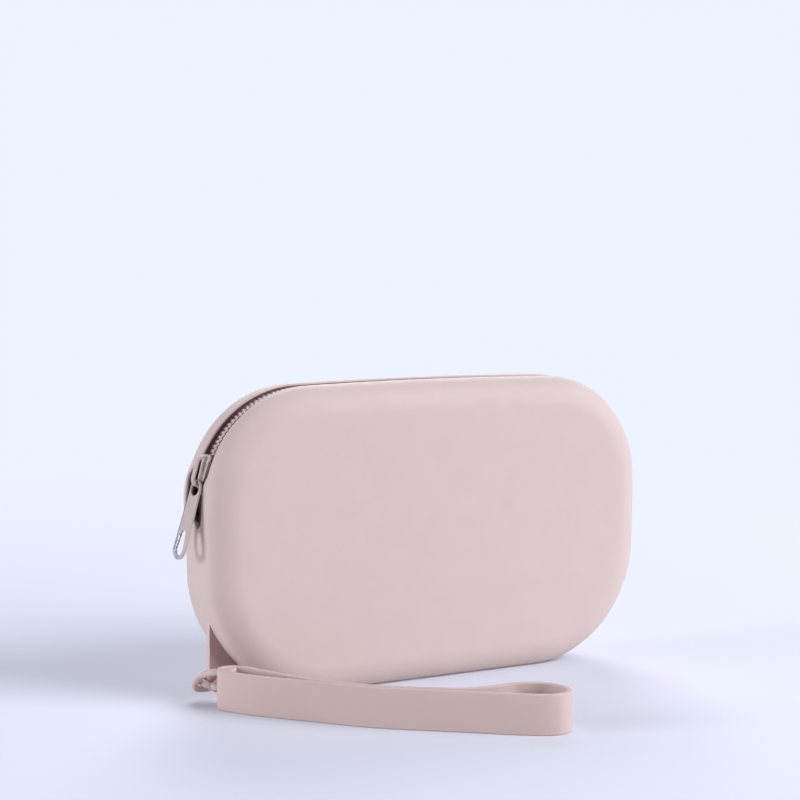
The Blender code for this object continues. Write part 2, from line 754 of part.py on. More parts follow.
def neck_route():
    """From the strap round the lug's outer edge, through its slot, round again and back to the strap."""
    edge = -WIDTH / 2 + LUG_INSET
    middle_x = edge + (LUG_SLOT_OFFSET - NECK_DIAMETER / 2 - LUG_SLOT_PLAY) / 2
    inner = edge + LUG_SLOT_OFFSET - middle_x
    radius = NECK_DIAMETER / 2
    outer = middle_x - edge + radius + NECK_SLACK
    front = LUG_THICKNESS / 2 + radius + NECK_PLAY
    start, along, across = strap_frame()
    face = strap_point(STRAP_CLOSED_END_SHARE) - along * (STRAP_THICKNESS / 2 + 2 * SEAT_GAP)
    lead = face - along * NECK_LEAD

    turns = []
    for k in range(NECK_POINTS):
        angle = NECK_FIRST_ANGLE - k * 2 * math.pi / NECK_TURN_POINTS
        side = inner if math.cos(angle) > 0 else outer
        if math.cos(angle) < 0 and k >= NECK_POINTS - NECK_TURN_POINTS:
            side *= NECK_INNER_TURN_SHARE
        height = NECK_TOP - NECK_PITCH * (k + 1) / NECK_TURN_POINTS
        turns.append((middle_x + side * math.cos(angle), front * math.sin(angle), height))
    last = turns[-1][2] - NECK_PITCH / NECK_TURN_POINTS
    route = [(face.x, face.y, NECK_TOP), (lead.x, lead.y, NECK_TOP)] + turns
    route.append((middle_x + inner * NECK_EXIT_SHARE, -front * NECK_EXIT_DEPTH_SHARE, last))
    route += [(lead.x, lead.y, NECK_LOW), (face.x, face.y, NECK_LOW)]
    return smooth_path(route, NECK_STEPS)


def make_neck():
    route = neck_route()
    print_least_gap(route)
    add_object("strap_neck", tube("strap_neck", route, NECK_DIAMETER / 2), SILICONE)


def print_least_gap(route):
    """Prints how near the neck comes to itself, measured on its route's points."""
    walked = [0]
    for a, b in zip(route, route[1:]):
        walked.append(walked[-1] + (b - a).length)
    apart = [
        (route[i] - route[j]).length
        for i in range(len(route))
        for j in range(i)
        if walked[i] - walked[j] > 3 * NECK_DIAMETER
    ]
    print(f"neck: {(min(apart) - NECK_DIAMETER) * 1000:.2f} mm to itself at the least")


def make_strap_pivot():
    """An empty at the strap's closed end, about which the band lifts."""
    start, along, across = strap_frame()
    place = strap_point(STRAP_CLOSED_END_SHARE) - along * (STRAP_THICKNESS / 2 + SEAT_GAP)
    item = bpy.data.objects.new("strap_pivot", None)
    PARTS.objects.link(item)
    item.location = (place.x, place.y, STRAP_HEIGHT / 2)
    return item


# Sizes that follow from those above
ARCS = outline_arcs()
CORNER = ARCS[1]
SLIDER_AT = distance_at(HEIGHT - SLIDER_DROP)
SLIDER_ANGLE = station(SLIDER_AT)[2]
NOSE_AT = SLIDER_AT + SLIDER_LENGTH / 2
STOPS_FROM = NOSE_AT + SEAT_GAP
STOPS_TO = STOPS_FROM + STOP_LENGTH
CHAIN_HALF = SLIDER_AT + SLIDER_LENGTH / 2 - POST_LENGTH - SEAT_GAP
TAPE_HALF = distance_at(HEIGHT - SLIT_DROP) - SEAT_GAP
GROOVE_LOW = station(STOPS_TO)[1] - SEAT_GAP
GROOVE = SLIDER_NOSE_WIDTH / 2 + LIP_PLAY

# Slider heights over the widest section, measured outwards
SAGITTA = (SLIDER_LENGTH / 2) ** 2 / (2 * (TOP_CORNER_RADIUS - WALL))
OUTER_LOW = -WALL + COIL_HEIGHT + SLIDER_COIL_PLAY
OUTER_HIGH = OUTER_LOW + SLIDER_PLATE
NOSE_DRAFT = math.tan(DRAFT) * SLIDER_NOSE_WIDTH / 2
INNER_HIGH = -WALL - SEAT_GAP - TAPE_THICKNESS - SEAT_GAP - SAGITTA - NOSE_DRAFT
INNER_LOW = INNER_HIGH - SLIDER_PLATE
CROWN_LEG = SLIDER_LENGTH / 2 - CROWN_FOOT_INSET - CROWN_THICKNESS / 2
PULL_PIVOT = (
    TOP_CORNER_RADIUS + OUTER_HIGH + (SEAT_GAP + CROWN_CLEARANCE) / 2,
    CROWN_LEG - CROWN_THICKNESS / 2 - PULL_EYE_RIM / 2 - PULL_EYE_PLAY,
)

# Slot of the lug: the neck passes it twice, a pitch apart
SLOT_HIGH = NECK_TOP - NECK_PITCH * NECK_SLOT_SHARE
SLOT_LOW = SLOT_HIGH - NECK_PITCH
NECK_LOW = NECK_TOP - 2 * NECK_PITCH

clear_scene()
PARTS = make_collection(NAME)
CUTTERS = make_collection(NAME + "_cutters")
make_shell()
make_zip()
slider_pivot = slider_frame()
make_slider(slider_pivot)
make_crown(slider_pivot)
make_spring(slider_pivot)
make_pull(slider_pivot)
make_strap(make_strap_pivot())
make_neck()
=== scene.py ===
import math

import bmesh
import bpy
import numpy as np
from mathutils import Matrix, Vector


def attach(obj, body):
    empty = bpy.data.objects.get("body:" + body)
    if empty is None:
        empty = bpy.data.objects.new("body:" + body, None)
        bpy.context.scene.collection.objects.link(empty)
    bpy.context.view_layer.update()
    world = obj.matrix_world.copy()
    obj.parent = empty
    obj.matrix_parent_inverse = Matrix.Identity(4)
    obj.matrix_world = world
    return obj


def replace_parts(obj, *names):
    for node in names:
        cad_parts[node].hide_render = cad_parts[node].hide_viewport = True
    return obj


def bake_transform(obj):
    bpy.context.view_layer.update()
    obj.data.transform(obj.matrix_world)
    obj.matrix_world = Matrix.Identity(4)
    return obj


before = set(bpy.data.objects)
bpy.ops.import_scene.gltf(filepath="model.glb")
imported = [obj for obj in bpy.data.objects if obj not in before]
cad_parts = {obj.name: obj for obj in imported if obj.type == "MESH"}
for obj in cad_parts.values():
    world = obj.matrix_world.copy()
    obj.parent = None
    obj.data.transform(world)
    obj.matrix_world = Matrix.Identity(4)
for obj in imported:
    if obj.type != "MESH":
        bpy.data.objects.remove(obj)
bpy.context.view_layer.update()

# Camera, from the photograph
CAMERA_PLACE = (-0.37191, -0.60310, 0.15880)
CAMERA_FORWARD = (0.51302, 0.85381, -0.08841)
CAMERA_ROLL = math.radians(0.4)
CAMERA_LENS = 92.51
CAMERA_SENSOR = 36
CAMERA_CLIP = 0.01

# Lamps: name, azimuth and elevation in degrees, size in metres and power in watts
LAMP_DISTANCE = 2.6
LAMPS = [
    ("key", 313, 27, 1.9, 62),
    ("left_fill", 170, 8, 1.1, 34),
    ("back", 60, 35, 1.4, 28),
]

# Colours as they render, 0 to 255
BODY_PINK = (219, 200, 200)
STRAP_PINK = (216, 194, 193)
# Darker pink for the lug's broad faces: painted shade, where the shell and the strap shade the lug
LUG_SHADE_PINK = (184, 155, 153)
DUST_PALE = (236, 222, 224)
SHEEN_PALE = (255, 240, 240)
WEAVE_LOW = (84, 54, 60)
WEAVE_HIGH = (128, 92, 98)
WEAVE_FLECK = (160, 126, 132)
COIL_PINK = (226, 206, 208)
THREAD_PLUM = (140, 106, 112)
PAINT_PINK = (206, 188, 188)
# Dark plum for the slider's flanges and the stops: painted shade in the gaps beside the slider
PAINT_SHADE_PLUM = (122, 92, 96)
NICK_GREY = (150, 140, 140)
STEEL_DULL, STEEL_BRIGHT = (140, 138, 144), (196, 194, 200)
# A darker steel for the pull's rear edge: painted shade
SHADE_STEEL_DULL, SHADE_STEEL_BRIGHT = (58, 52, 56), (84, 78, 82)
FILL_WHITE = (252, 251, 255)
BACKDROP_BLUE = (237, 243, 255)
FLOOR_BLUE = (234, 239, 255)
FLOOR_BOUNCE = (214, 214, 216)

# Floor and fill light
FILL_STRENGTH = 0.3
FLOOR_HALF = 2.5
FLOOR_CELLS = 4
FLOOR_FADE = (0.25, 0.6)

# Shell, as in the part's source
WIDTH = 0.1724
HEIGHT = 0.104
FRONT_DEPTH = 0.0125
REAR_DEPTH = 0.0165
WALL = 0.0026
TOP_CROWN_RADIUS = 1.85
TOP_CORNER_RADIUS = 0.038
SIDE_BOW_RADIUS = 0.45
SIDE_BOW_HEIGHT = 0.0543
BASE_CORNER_RADIUS = 0.043
BASE_CUT = 0.0005
DRAFT = math.radians(5)
EDGE_DEPTH = 0.0075
EDGE_REACH = 0.0105
SLIDER_DROP = 0.0281
SLIT_DROP = 0.0462
LIP_PLAY = 0.0004
SEAT_GAP = 0.0003

# Shell: soft forms that only the looks need
CREST = 0.0015
LIP_ROUND = 0.0005
STATION_STEP = 0.0016
ROUND_STEPS = 4
BAND_STEPS = 6
EDGE_STEPS = 14
FACE_STEPS = 9
TAPER_POWER = 0.14
NARROW_SLIT = 0.002
NARROW_TOP = 0.0755
NARROW_FULL = 0.0705

# Shell: the rear lip, which stands away from the slider's side
FLARE_LIFT = 0.0029
FLARE_BACK = 0.0019
FLARE_DEPTH = 0.0135
FLARE_TOP = 0.0825
FLARE_FULL_TOP = 0.0705
FLARE_FULL_LOW = 0.064

# Lug
LUG_INSET = 0.0036
LUG_THICKNESS = 0.0025
LUG_LOW = 0.0025
LUG_CORNER_RADIUS = 0.003
LUG_CORNER_STEPS = 10
LUG_ROOT = 0.024
LUG_SLOT_OFFSET = 0.0048
LUG_SLOT_PLAY = 0.0006
LUG_SLOT_STEPS = 12
LUG_ROUND = 0.0005
LUG_FACE_SHARE = 0.9

# Zip
COIL_PITCH = 0.0018
COIL_WIRE = 0.00086
COIL_OUTER = 0.0021
COIL_HEAD = 0.0007
COIL_HEIGHT = 0.0014
COIL_SINK = 0.0001
COIL_LEG_POWER = 0.55
COIL_TIP_POWER = 0.75
COIL_TURN_POINTS = 14
COIL_SIDES = 6
THREAD_PLACE = 0.0016
THREAD_DIP = 0.00018
THREAD_RADIUS = 0.00016
THREAD_SIDES = 5
THREAD_STEPS = 4
TAPE_INNER = 0.001
TAPE_THICKNESS = 0.0005
TAPE_STEP = 0.001
TAPE_BAND_STEPS = 6
TAPE_EDGE_STEPS = 3
TAPE_END_DEPTH = 0.0012
STOP_LENGTH = 0.002
STOP_EDGE = 0.0004
STOP_OUTER = 0.0025
STOP_ROUND = 0.0003
STOP_STEPS = 3
LINING = 0.00012
LINING_TOP = 0.0009

# Slider
SLIDER_LENGTH = 0.0116
SLIDER_NOSE_WIDTH = 0.0072
SLIDER_TAIL_WIDTH = 0.0066
SLIDER_PLATE = 0.0009
SLIDER_COIL_PLAY = 0.0003
SLIDER_SIDE_PLAY = 0.0003
FLANGE_TAPE_PLAY = 0.0004
FLANGE_INSET = 0.00005
POST_LENGTH = 0.0024
POST_WIDTH = 0.0014
CROWN_WIDTH = 0.002
CROWN_THICKNESS = 0.0009
CROWN_CLEARANCE = 0.0018
CROWN_BEND_RADIUS = 0.0022
CROWN_FOOT_INSET = 0.0005
CROWN_TAIL_STEPS = 14
CROWN_NOSE_STEPS = 12
STRIP_SIDES = 16
STRIP_POWER = 0.5
SPRING_WIDTH = 0.0012
SPRING_THICKNESS = 0.0003
SPRING_LENGTH = 0.003
SPRING_BEND_SHARE = 0.4
METAL_ROUND = 0.00028

# Slider's plates from nose to tail: shares of half the length and of half the nose's width
OUTER_PLATE_SHARES = [
    (0.97, 0.19), (0.91, 0.28), (0.57, 0.31), (0.5, 0.47), (0.38, 0.58), (-0.62, 0.69),
    (-0.74, 0.87), (-0.86, 0.89), (-0.95, 0.78), (-1.0, 0.53),
]
INNER_PLATE_SHARES = [
    (1.0, 0.5), (0.93, 0.82), (0.75, 1.0), (0.0, 0.93), (-0.8, 0.92), (-0.94, 0.78), (-1.0, 0.5),
]

# Pull
PULL_LIFT = 0.0006
PULL_LENGTH = 0.0236
PULL_EYE_RADIUS = 0.0022
PULL_EYE_RIM = 0.0009
PULL_EYE_PLAY = 0.0006
PULL_END_RADIUS = 0.0036
PULL_THICKNESS = 0.0008
PULL_RING_WALL = 0.0015
PULL_OPENING_LENGTH = 0.0082
PULL_OPENING_TOP = 0.0028
PULL_LEAN = math.radians(16.5)
PULL_TWIST = math.radians(6)
PULL_STEPS = 28
PULL_ROUND = 0.00035
PULL_SHADED_EDGE = 0.0005

# Strap
STRAP_REACH = 0.1152
STRAP_HEIGHT = 0.013
STRAP_THICKNESS = 0.0018
STRAP_EDGE_ROUND = 0.0005
STRAP_EDGE_STEPS = 5
STRAP_BOW = 0.0075
STRAP_BULGE = 0.0154
STRAP_HEADING = math.radians(-47.5)
STRAP_SIDE_OFFSET = 0.002
STRAP_STANDOFF = 0.0133
STRAP_STEPS = 16
STRAP_END_INSET = 0.0003
STRAP_END_ROUND = 0.0006

# Strap's course, out along the front and back along the rear. Each place is four shares: of the
# reach, of the bow, of the way from the front band to the rear one, and of the bulge between them.
STRAP_SHARES = [
    (0.037, 0.27, 0.0, 0.0), (0.133, 0.61, 0.0, 0.0), (0.311, 0.84, 0.0, 0.0),
    (0.486, 1.0, 0.0, 0.0), (0.70, 0.61, 0.0, 0.0), (0.88, 0.27, 0.0, 0.0),
    (0.959, 0.15, 0.11, 1.0), (0.986, 0.1, 0.43, 1.0), (0.956, 0.12, 0.785, 1.0),
    (0.894, 0.27, 1.0, 1.0), (0.83, 0.36, 1.0, 0.85), (0.776, 0.48, 1.0, 0.48),
    (0.703, 0.61, 1.0, 0.143), (0.60, 0.80, 1.0, 0.04), (0.486, 1.0, 1.0, 0.03),
    (0.377, 0.92, 1.0, 0.03), (0.311, 0.84, 1.0, 0.05), (0.23, 0.75, 1.0, 0.17),
    (0.133, 0.61, 1.0, 0.39), (0.06, 0.36, 1.0, 0.48), (0.013, 0.2, 0.9, 0.48),
    (-0.009, 0.1, 0.45, 0.48), (0.002, 0.1, 0.1, 0.48),
]
STRAP_CLOSED_END = STRAP_SHARES[-2]
STRAP_WEB_CORNERS = [(0.03, 0.26, 0.94, 0.48), *STRAP_SHARES[-3:], (0.03, 0.236, 0.02, 0.1)]

# Neck
NECK_DIAMETER = 0.0022
NECK_TOP = 0.0112
NECK_LOW_SHARE = 0.57
NECK_SLACK = 0.0035
NECK_PLAY = 0.0005
NECK_LEAD = 0.0018
NECK_EXIT_SHARE = 0.75
NECK_EXIT_HEIGHT_SHARE = 0.69
NECK_STEPS = 8
NECK_SIDES = 16

# Neck: an eighth of a turn at a time round the lug's outer edge, from in front of it to the
# second pass of the slot. Each pair is the share of the loop's reach and of the neck's height.
NECK_TURN_SHARES = [
    (1.0, 0.8), (1.0, 0.535), (1.0, 0.335), (1.0, 0.285), (1.0, 0.365), (1.0, 0.4), (1.0, 0.415),
    (1.0, 0.43), (0.62, 0.5), (0.62, 0.565), (0.62, 0.62), (1.0, 0.66), (1.0, 0.685), (1.0, 0.7),
]
NECK_FIRST_SLOT, NECK_SECOND_SLOT = 5, 13

# Meshes
WELD = 1e-6
FLAT_ANGLE = 0.01
BEVEL_SEGMENTS = 3
SHARP_DEGREES = 40
ROUNDED_DEGREES = 60
WOUND_DEGREES = 80
REST = "rest_place"

# Materials: the parts of a noise's range that marks are taken from
NOISE_MIDDLE = (0.3, 0.7)
NOISE_WIDE = (0.2, 0.8)
NOISE_UPPER = (0.45, 0.8)
NOISE_PATCHES = (0.35, 0.7)
NOISE_NICKS = (0.68, 0.73)
NOISE_SPECKS = (0.70, 0.76)

# Materials: threads of the tape, and how much pale dust lies on the shell and on the strap
WEFT_PITCH = 0.0006
WARP_PITCH = 0.0008
SHELL_DUST = 0.25
STRAP_DUST = 0.35


def outline_arcs():
    """The right half of the widest section, clockwise from the top's middle, as tangent arcs."""
    crown = (0, HEIGHT - TOP_CROWN_RADIUS)
    side = (WIDTH / 2 - SIDE_BOW_RADIUS, SIDE_BOW_HEIGHT)
    from_crown = TOP_CROWN_RADIUS - TOP_CORNER_RADIUS
    from_side = SIDE_BOW_RADIUS - TOP_CORNER_RADIUS
    dx, dz = side[0] - crown[0], side[1] - crown[1]
    apart = math.hypot(dx, dz)
    along = (from_crown**2 - from_side**2 + apart**2) / (2 * apart)
    across = math.sqrt(from_crown**2 - along**2)
    corner = (
        crown[0] + (dx * along + dz * across) / apart,
        crown[1] + (dz * along - dx * across) / apart,
    )
    base_z = BASE_CORNER_RADIUS - BASE_CUT
    reach = SIDE_BOW_RADIUS - BASE_CORNER_RADIUS
    base = (side[0] + math.sqrt(reach**2 - (base_z - side[1]) ** 2), base_z)
    turn = math.pi / 2
    crown_end = math.atan2(corner[1] - crown[1], corner[0] - crown[0])
    side_start = math.atan2(corner[1] - side[1], corner[0] - side[0])
    side_end = math.atan2(base[1] - side[1], base[0] - side[0])
    return [
        (*crown, TOP_CROWN_RADIUS, turn, crown_end),
        (*corner, TOP_CORNER_RADIUS, crown_end, side_start),
        (*side, SIDE_BOW_RADIUS, side_start, side_end),
        (*base, BASE_CORNER_RADIUS, side_end, -turn),
    ]


ARCS = outline_arcs()
CORNER = ARCS[1]
ARC_LENGTH = sum(radius * (start - end) for _, _, radius, start, end in ARCS)
HALF_ROUND = ARC_LENGTH + ARCS[-1][0]


def station(distance):
    """(x, z, outward angle) on the widest section, at a distance along it from the top's middle."""
    left = abs(distance)
    if left >= ARC_LENGTH:
        cx, cz, radius = ARCS[-1][:3]
        x, z, angle = cx - (left - ARC_LENGTH), cz - radius, -math.pi / 2
    else:
        for cx, cz, radius, start, end in ARCS:
            length = radius * (start - end)
            if left <= length:
                break
            left -= length
        angle = start - left / radius
        x, z = cx + radius * math.cos(angle), cz + radius * math.sin(angle)
    if distance < 0:
        return -x, z, math.pi - angle
    return x, z, angle


def distance_at(height):
    """How far along the widest section from the top's middle a height is reached."""
    total = 0
    for _, cz, radius, start, end in ARCS:
        low = cz + radius * math.sin(end)
        if height >= low:
            return total + radius * (start - math.asin((height - cz) / radius))
        total += radius * (start - end)


def on_path(distance, depth, lift):
    """A point above the widest section by lift, and behind its middle plane by depth."""
    x, z, angle = station(distance)
    return Vector((x + lift * math.cos(angle), depth, z + lift * math.sin(angle)))


# Places and sizes that follow from those above
SLIDER_AT = distance_at(HEIGHT - SLIDER_DROP)
SLIDER_ANGLE = station(SLIDER_AT)[2]
SLIDER_SPIN = Matrix.Rotation(math.pi + SLIDER_ANGLE, 4, "Y")
SLIDER_FRAME = Matrix.Translation((-CORNER[0], 0, CORNER[1])) @ SLIDER_SPIN
NOSE_AT = SLIDER_AT + SLIDER_LENGTH / 2
STOPS_FROM = NOSE_AT + SEAT_GAP
STOPS_TO = STOPS_FROM + STOP_LENGTH
CHAIN_HALF = SLIDER_AT + SLIDER_LENGTH / 2 - POST_LENGTH - SEAT_GAP
SLIT_LOW = HEIGHT - SLIT_DROP
TAPE_HALF = distance_at(SLIT_LOW) - SEAT_GAP
GROOVE_LOW = station(STOPS_TO)[1] - SEAT_GAP
GROOVE = SLIDER_NOSE_WIDTH / 2 + LIP_PLAY
SAGITTA = (SLIDER_LENGTH / 2) ** 2 / (2 * (TOP_CORNER_RADIUS - WALL))
OUTER_LOW = -WALL + COIL_HEIGHT + SLIDER_COIL_PLAY
OUTER_HIGH = OUTER_LOW + SLIDER_PLATE
NOSE_DRAFT = math.tan(DRAFT) * SLIDER_NOSE_WIDTH / 2
INNER_HIGH = -WALL - SEAT_GAP - TAPE_THICKNESS - SEAT_GAP - SAGITTA - NOSE_DRAFT
INNER_LOW = INNER_HIGH - SLIDER_PLATE
CROWN_LEG = SLIDER_LENGTH / 2 - CROWN_FOOT_INSET - CROWN_THICKNESS / 2
PULL_ALONG = CROWN_LEG - CROWN_THICKNESS / 2 - PULL_EYE_RIM / 2 - PULL_EYE_PLAY
LUG_EDGE = -WIDTH / 2 + LUG_INSET
SLOT_LOW = NECK_TOP * NECK_TURN_SHARES[NECK_FIRST_SLOT][1]
SLOT_HIGH = NECK_TOP * NECK_TURN_SHARES[NECK_SECOND_SLOT][1]
STRAP_ALONG = Vector((math.cos(STRAP_HEADING), math.sin(STRAP_HEADING), 0))
STRAP_ACROSS = Vector((-STRAP_ALONG.y, STRAP_ALONG.x, 0))
STRAP_START = Vector((LUG_EDGE - STRAP_SIDE_OFFSET, -STRAP_STANDOFF, 0))


# Helpers for meshes

def put_in_scene(name, data):
    item = bpy.data.objects.new(name, data)
    bpy.context.scene.collection.objects.link(item)
    return item


def mesh_object(name, build, surfaces, sharp_degrees=SHARP_DEGREES):
    """An object from what build puts in an empty bmesh."""
    bm = bmesh.new()
    build(bm)
    bmesh.ops.recalc_face_normals(bm, faces=bm.faces)
    mesh = bpy.data.meshes.new(name)
    bm.to_mesh(mesh)
    bm.free()
    for surface in surfaces:
        mesh.materials.append(surface)
    mesh.shade_smooth()
    mesh.set_sharp_from_angle(angle=math.radians(sharp_degrees))
    keep_rest(mesh)
    return put_in_scene(name, mesh)


def keep_rest(mesh):
    """Stores each point's place at rest for the materials, so that no pattern slides over the piece."""
    if REST in mesh.attributes:
        mesh.attributes.remove(mesh.attributes[REST])
    places = np.zeros(len(mesh.vertices) * 3, np.float32)
    mesh.vertices.foreach_get("co", places)
    mesh.attributes.new(REST, "FLOAT_VECTOR", "POINT").data.foreach_set("vector", places)


def settle(item, body, node=None):
    """Puts a finished piece on its body, and in the place of a node of the part."""
    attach(item, body)
    if node:
        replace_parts(item, node)


def skin(rings, closed_along=False):
    """A builder of a skin through rings of points, with flat ends unless the last meets the first."""
    def build(bm):
        rows = [[bm.verts.new(point) for point in ring] for ring in rings]
        pairs = list(zip(rows, rows[1:]))
        if closed_along:
            pairs.append((rows[-1], rows[0]))
        for low, high in pairs:
            for k in range(len(low)):
                after = (k + 1) % len(low)
                bm.faces.new((low[k], low[after], high[after], high[k]))
        if not closed_along:
            bm.faces.new(rows[0])
            bm.faces.new(rows[-1])
    return build


def arc_points(centre, radius, start, end, steps):
    angles = [start + (end - start) * k / steps for k in range(steps + 1)]
    return [(centre[0] + radius * math.cos(a), centre[1] + radius * math.sin(a)) for a in angles]


def smooth_path(points, steps, closed=False):
    """A Catmull-Rom curve through the points, with so many steps between each two."""
    points = [Vector(point) for point in points]
    count = len(points)
    found = []
    for k in range(count if closed else count - 1):
        if closed:
            a, b, c, d = (points[(k + j) % count] for j in (-1, 0, 1, 2))
        else:
            a, b, c, d = (points[min(max(k + j, 0), count - 1)] for j in (-1, 0, 1, 2))
        for step in range(steps):
            t = step / steps
            square = (2 * a - 5 * b + 4 * c - d) * t**2
            cube = (3 * b - a - 3 * c + d) * t**3
            found.append(0.5 * ((2 * b) + (c - a) * t + square + cube))
    if not closed:
        found.append(points[-1])
    return found


def tube_rings(points, radius, sides):
    """Round rings along points, turned as little as possible from one to the next."""
    angles = [2 * math.pi * j / sides for j in range(sides)]
    rings = []
    side = None
    for k, place in enumerate(points):
        along = (points[min(k + 1, len(points) - 1)] - points[max(k - 1, 0)]).normalized()
        if side is None:
            side = along.orthogonal().normalized()
        side = (side - along * side.dot(along)).normalized()
        other = along.cross(side)
        rings.append([place + side * radius * math.cos(a) + other * radius * math.sin(a) for a in angles])
    return rings


def bulged(value, power):
    """A cosine or sine whose circle is squared off."""
    return math.copysign(abs(value) ** power, value)


def round_edges(item, width):
    modifier = item.modifiers.new("edges", "BEVEL")
    modifier.width = width
    modifier.segments = BEVEL_SEGMENTS
    modifier.limit_method = "ANGLE"
    modifier.angle_limit = math.radians(SHARP_DEGREES)
    modifier.harden_normals = True


def apply_modifiers(item):
    graph = bpy.context.evaluated_depsgraph_get()
    made = bpy.data.meshes.new_from_object(item.evaluated_get(graph))
    old = item.data
    item.modifiers.clear()
    item.data = made
    bpy.data.meshes.remove(old)
    keep_rest(made)


def flat_plate(name, outlines, thickness, matrix, surfaces):
    """A flat plate with holes. The first outline is its edge."""
    curve = bpy.data.curves.new(name + "_shape", "CURVE")
    curve.dimensions = "2D"
    curve.fill_mode = "BOTH"
    curve.extrude = thickness / 2
    for outline in outlines:
        spline = curve.splines.new("POLY")
        spline.points.add(len(outline) - 1)
        for point, (x, y) in zip(spline.points, outline):
            point.co = (x, y, 0, 1)
        spline.use_cyclic_u = True
    holder = put_in_scene(name + "_shape", curve)
    graph = bpy.context.evaluated_depsgraph_get()
    made = bpy.data.meshes.new_from_object(holder.evaluated_get(graph))
    bpy.data.objects.remove(holder, do_unlink=True)
    bpy.data.curves.remove(curve)

    def build(bm):
        bm.from_mesh(made)
        bmesh.ops.remove_doubles(bm, verts=bm.verts, dist=WELD)
        flat = [e for e in bm.edges if len(e.link_faces) == 2 and e.calc_face_angle() < FLAT_ANGLE]
        bmesh.ops.dissolve_limit(bm, angle_limit=FLAT_ANGLE, verts=bm.verts, edges=flat)
        bmesh.ops.transform(bm, matrix=matrix, verts=bm.verts)
    item = mesh_object(name, build, surfaces)
    bpy.data.meshes.remove(made)
    return item


# Materials

def linear(colour):
    """A colour given as it renders, 0 to 255, in the values that shaders take."""
    shares = [channel / 255 for channel in colour]
    return [s / 12.92 if s <= 0.04045 else ((s + 0.055) / 1.055) ** 2.4 for s in shares] + [1]


def shade(colour, share):
    return [min(1, channel * share) for channel in colour[:3]] + [1]


class Nodes:
    """A node tree. put adds a node, and the other calls give back the output of the node they add."""

    def __init__(self, tree):
        self.tree = tree

    def put(self, kind, **values):
        node = self.tree.nodes.new(kind)
        for key, value in values.items():
            setattr(node, key, value)
        return node

    def give(self, node, socket, value):
        target = node.inputs[socket]
        if isinstance(value, bpy.types.NodeSocket):
            self.tree.links.new(value, target)
        else:
            target.default_value = value

    def maths(self, operation, a, b=0.0):
        node = self.put("ShaderNodeMath", operation=operation)
        self.give(node, 0, a)
        self.give(node, 1, b)
        return node.outputs[0]

    def mix_shaders(self, share, a, b):
        node = self.put("ShaderNodeMixShader")
        for socket, value in enumerate((share, a, b)):
            self.give(node, socket, value)
        return node.outputs[0]

    def shown(self):
        """1 on the rays that show the background itself, also in metal and through glass."""
        ray = self.put("ShaderNodeLightPath")
        found = ray.outputs["Is Camera Ray"]
        for other in ("Is Glossy Ray", "Is Transmission Ray"):
            found = self.maths("MAXIMUM", found, ray.outputs[other])
        return found


class Surface(Nodes):
    """A material, with values for its shader's sockets."""

    def __init__(self, name, values):
        self.made = bpy.data.materials.new(name)
        self.made.use_nodes = True
        super().__init__(self.made.node_tree)
        self.shader = self.tree.nodes["Principled BSDF"]
        for socket, value in values.items():
            self.give(self.shader, socket, value)

    def rest(self):
        return self.put("ShaderNodeAttribute", attribute_name=REST).outputs["Vector"]

    def path(self):
        return self.put("ShaderNodeUVMap", uv_map="path").outputs["UV"]

    def noise(self, scale, detail=2, rough=0.5):
        node = self.put("ShaderNodeTexNoise")
        self.give(node, "Vector", self.rest())
        self.give(node, "Scale", scale)
        self.give(node, "Detail", detail)
        self.give(node, "Roughness", rough)
        return node.outputs["Fac"]

    def spread(self, value, span, to=(0.0, 1.0)):
        node = self.put("ShaderNodeMapRange")
        self.give(node, "Value", value)
        for socket, number in zip(("From Min", "From Max", "To Min", "To Max"), (*span, *to)):
            self.give(node, socket, number)
        return node.outputs["Result"]

    def mix(self, share, a, b):
        node = self.put("ShaderNodeMix", data_type="RGBA")
        self.give(node, 0, share)
        self.give(node, 6, a)
        self.give(node, 7, b)
        return node.outputs[2]

    def bump(self, height, depth, strength, before=None):
        node = self.put("ShaderNodeBump")
        self.give(node, "Strength", strength)
        self.give(node, "Distance", depth)
        self.give(node, "Height", height)
        if before:
            self.give(node, "Normal", before)
        return node.outputs["Normal"]

    def finish(self, colour, roughness, normal):
        for socket, value in (("Base Color", colour), ("Roughness", roughness), ("Normal", normal)):
            if value is not None:
                self.give(self.shader, socket, value)
        return self.made


def silicone(name, colour, dust=SHELL_DUST):
    """Matte silicone: faint mottling, a fine even grain, a soft sheen and a little pale dust."""
    s = Surface(name, {
        "Roughness": 0.6, "Specular IOR Level": 0.35, "Sheen Weight": 0.12, "Sheen Roughness": 0.45,
        "Sheen Tint": linear(SHEEN_PALE),
    })
    mottle = s.spread(s.noise(scale=90, detail=3), NOISE_MIDDLE)
    tone = s.mix(mottle, shade(colour, 0.985), shade(colour, 1.012))
    specks = s.spread(s.noise(scale=2600, detail=1), NOISE_SPECKS, to=(0, dust))
    tone = s.mix(specks, tone, linear(DUST_PALE))
    normal = s.bump(s.noise(scale=180), depth=0.00025, strength=0.25)
    normal = s.bump(s.noise(scale=2200, detail=3, rough=0.6), depth=0.00004, strength=0.35, before=normal)
    shine = s.spread(s.noise(scale=320, detail=3), NOISE_WIDE, to=(0.52, 0.72))
    return s.finish(tone, shine, normal)


def woven(name):
    """The zip's tape: plum threads crossing, seen from the tape's own length and width."""
    s = Surface(name, {"Roughness": 0.85, "Specular IOR Level": 0.25, "Sheen Weight": 0.3})
    parts = s.put("ShaderNodeSeparateXYZ")
    s.give(parts, 0, s.path())
    along = s.maths("SINE", s.maths("MULTIPLY", parts.outputs[0], 2 * math.pi / WEFT_PITCH))
    across = s.maths("SINE", s.maths("MULTIPLY", parts.outputs[1], 2 * math.pi / WARP_PITCH))
    height = s.spread(s.maths("MULTIPLY", along, across), (-1, 1))
    tone = s.mix(height, linear(WEAVE_LOW), linear(WEAVE_HIGH))
    flecks = s.spread(s.noise(scale=1500), NOISE_UPPER, to=(0, 0.35))
    tone = s.mix(flecks, tone, linear(WEAVE_FLECK))
    return s.finish(tone, None, s.bump(height, depth=0.00015, strength=0.8))


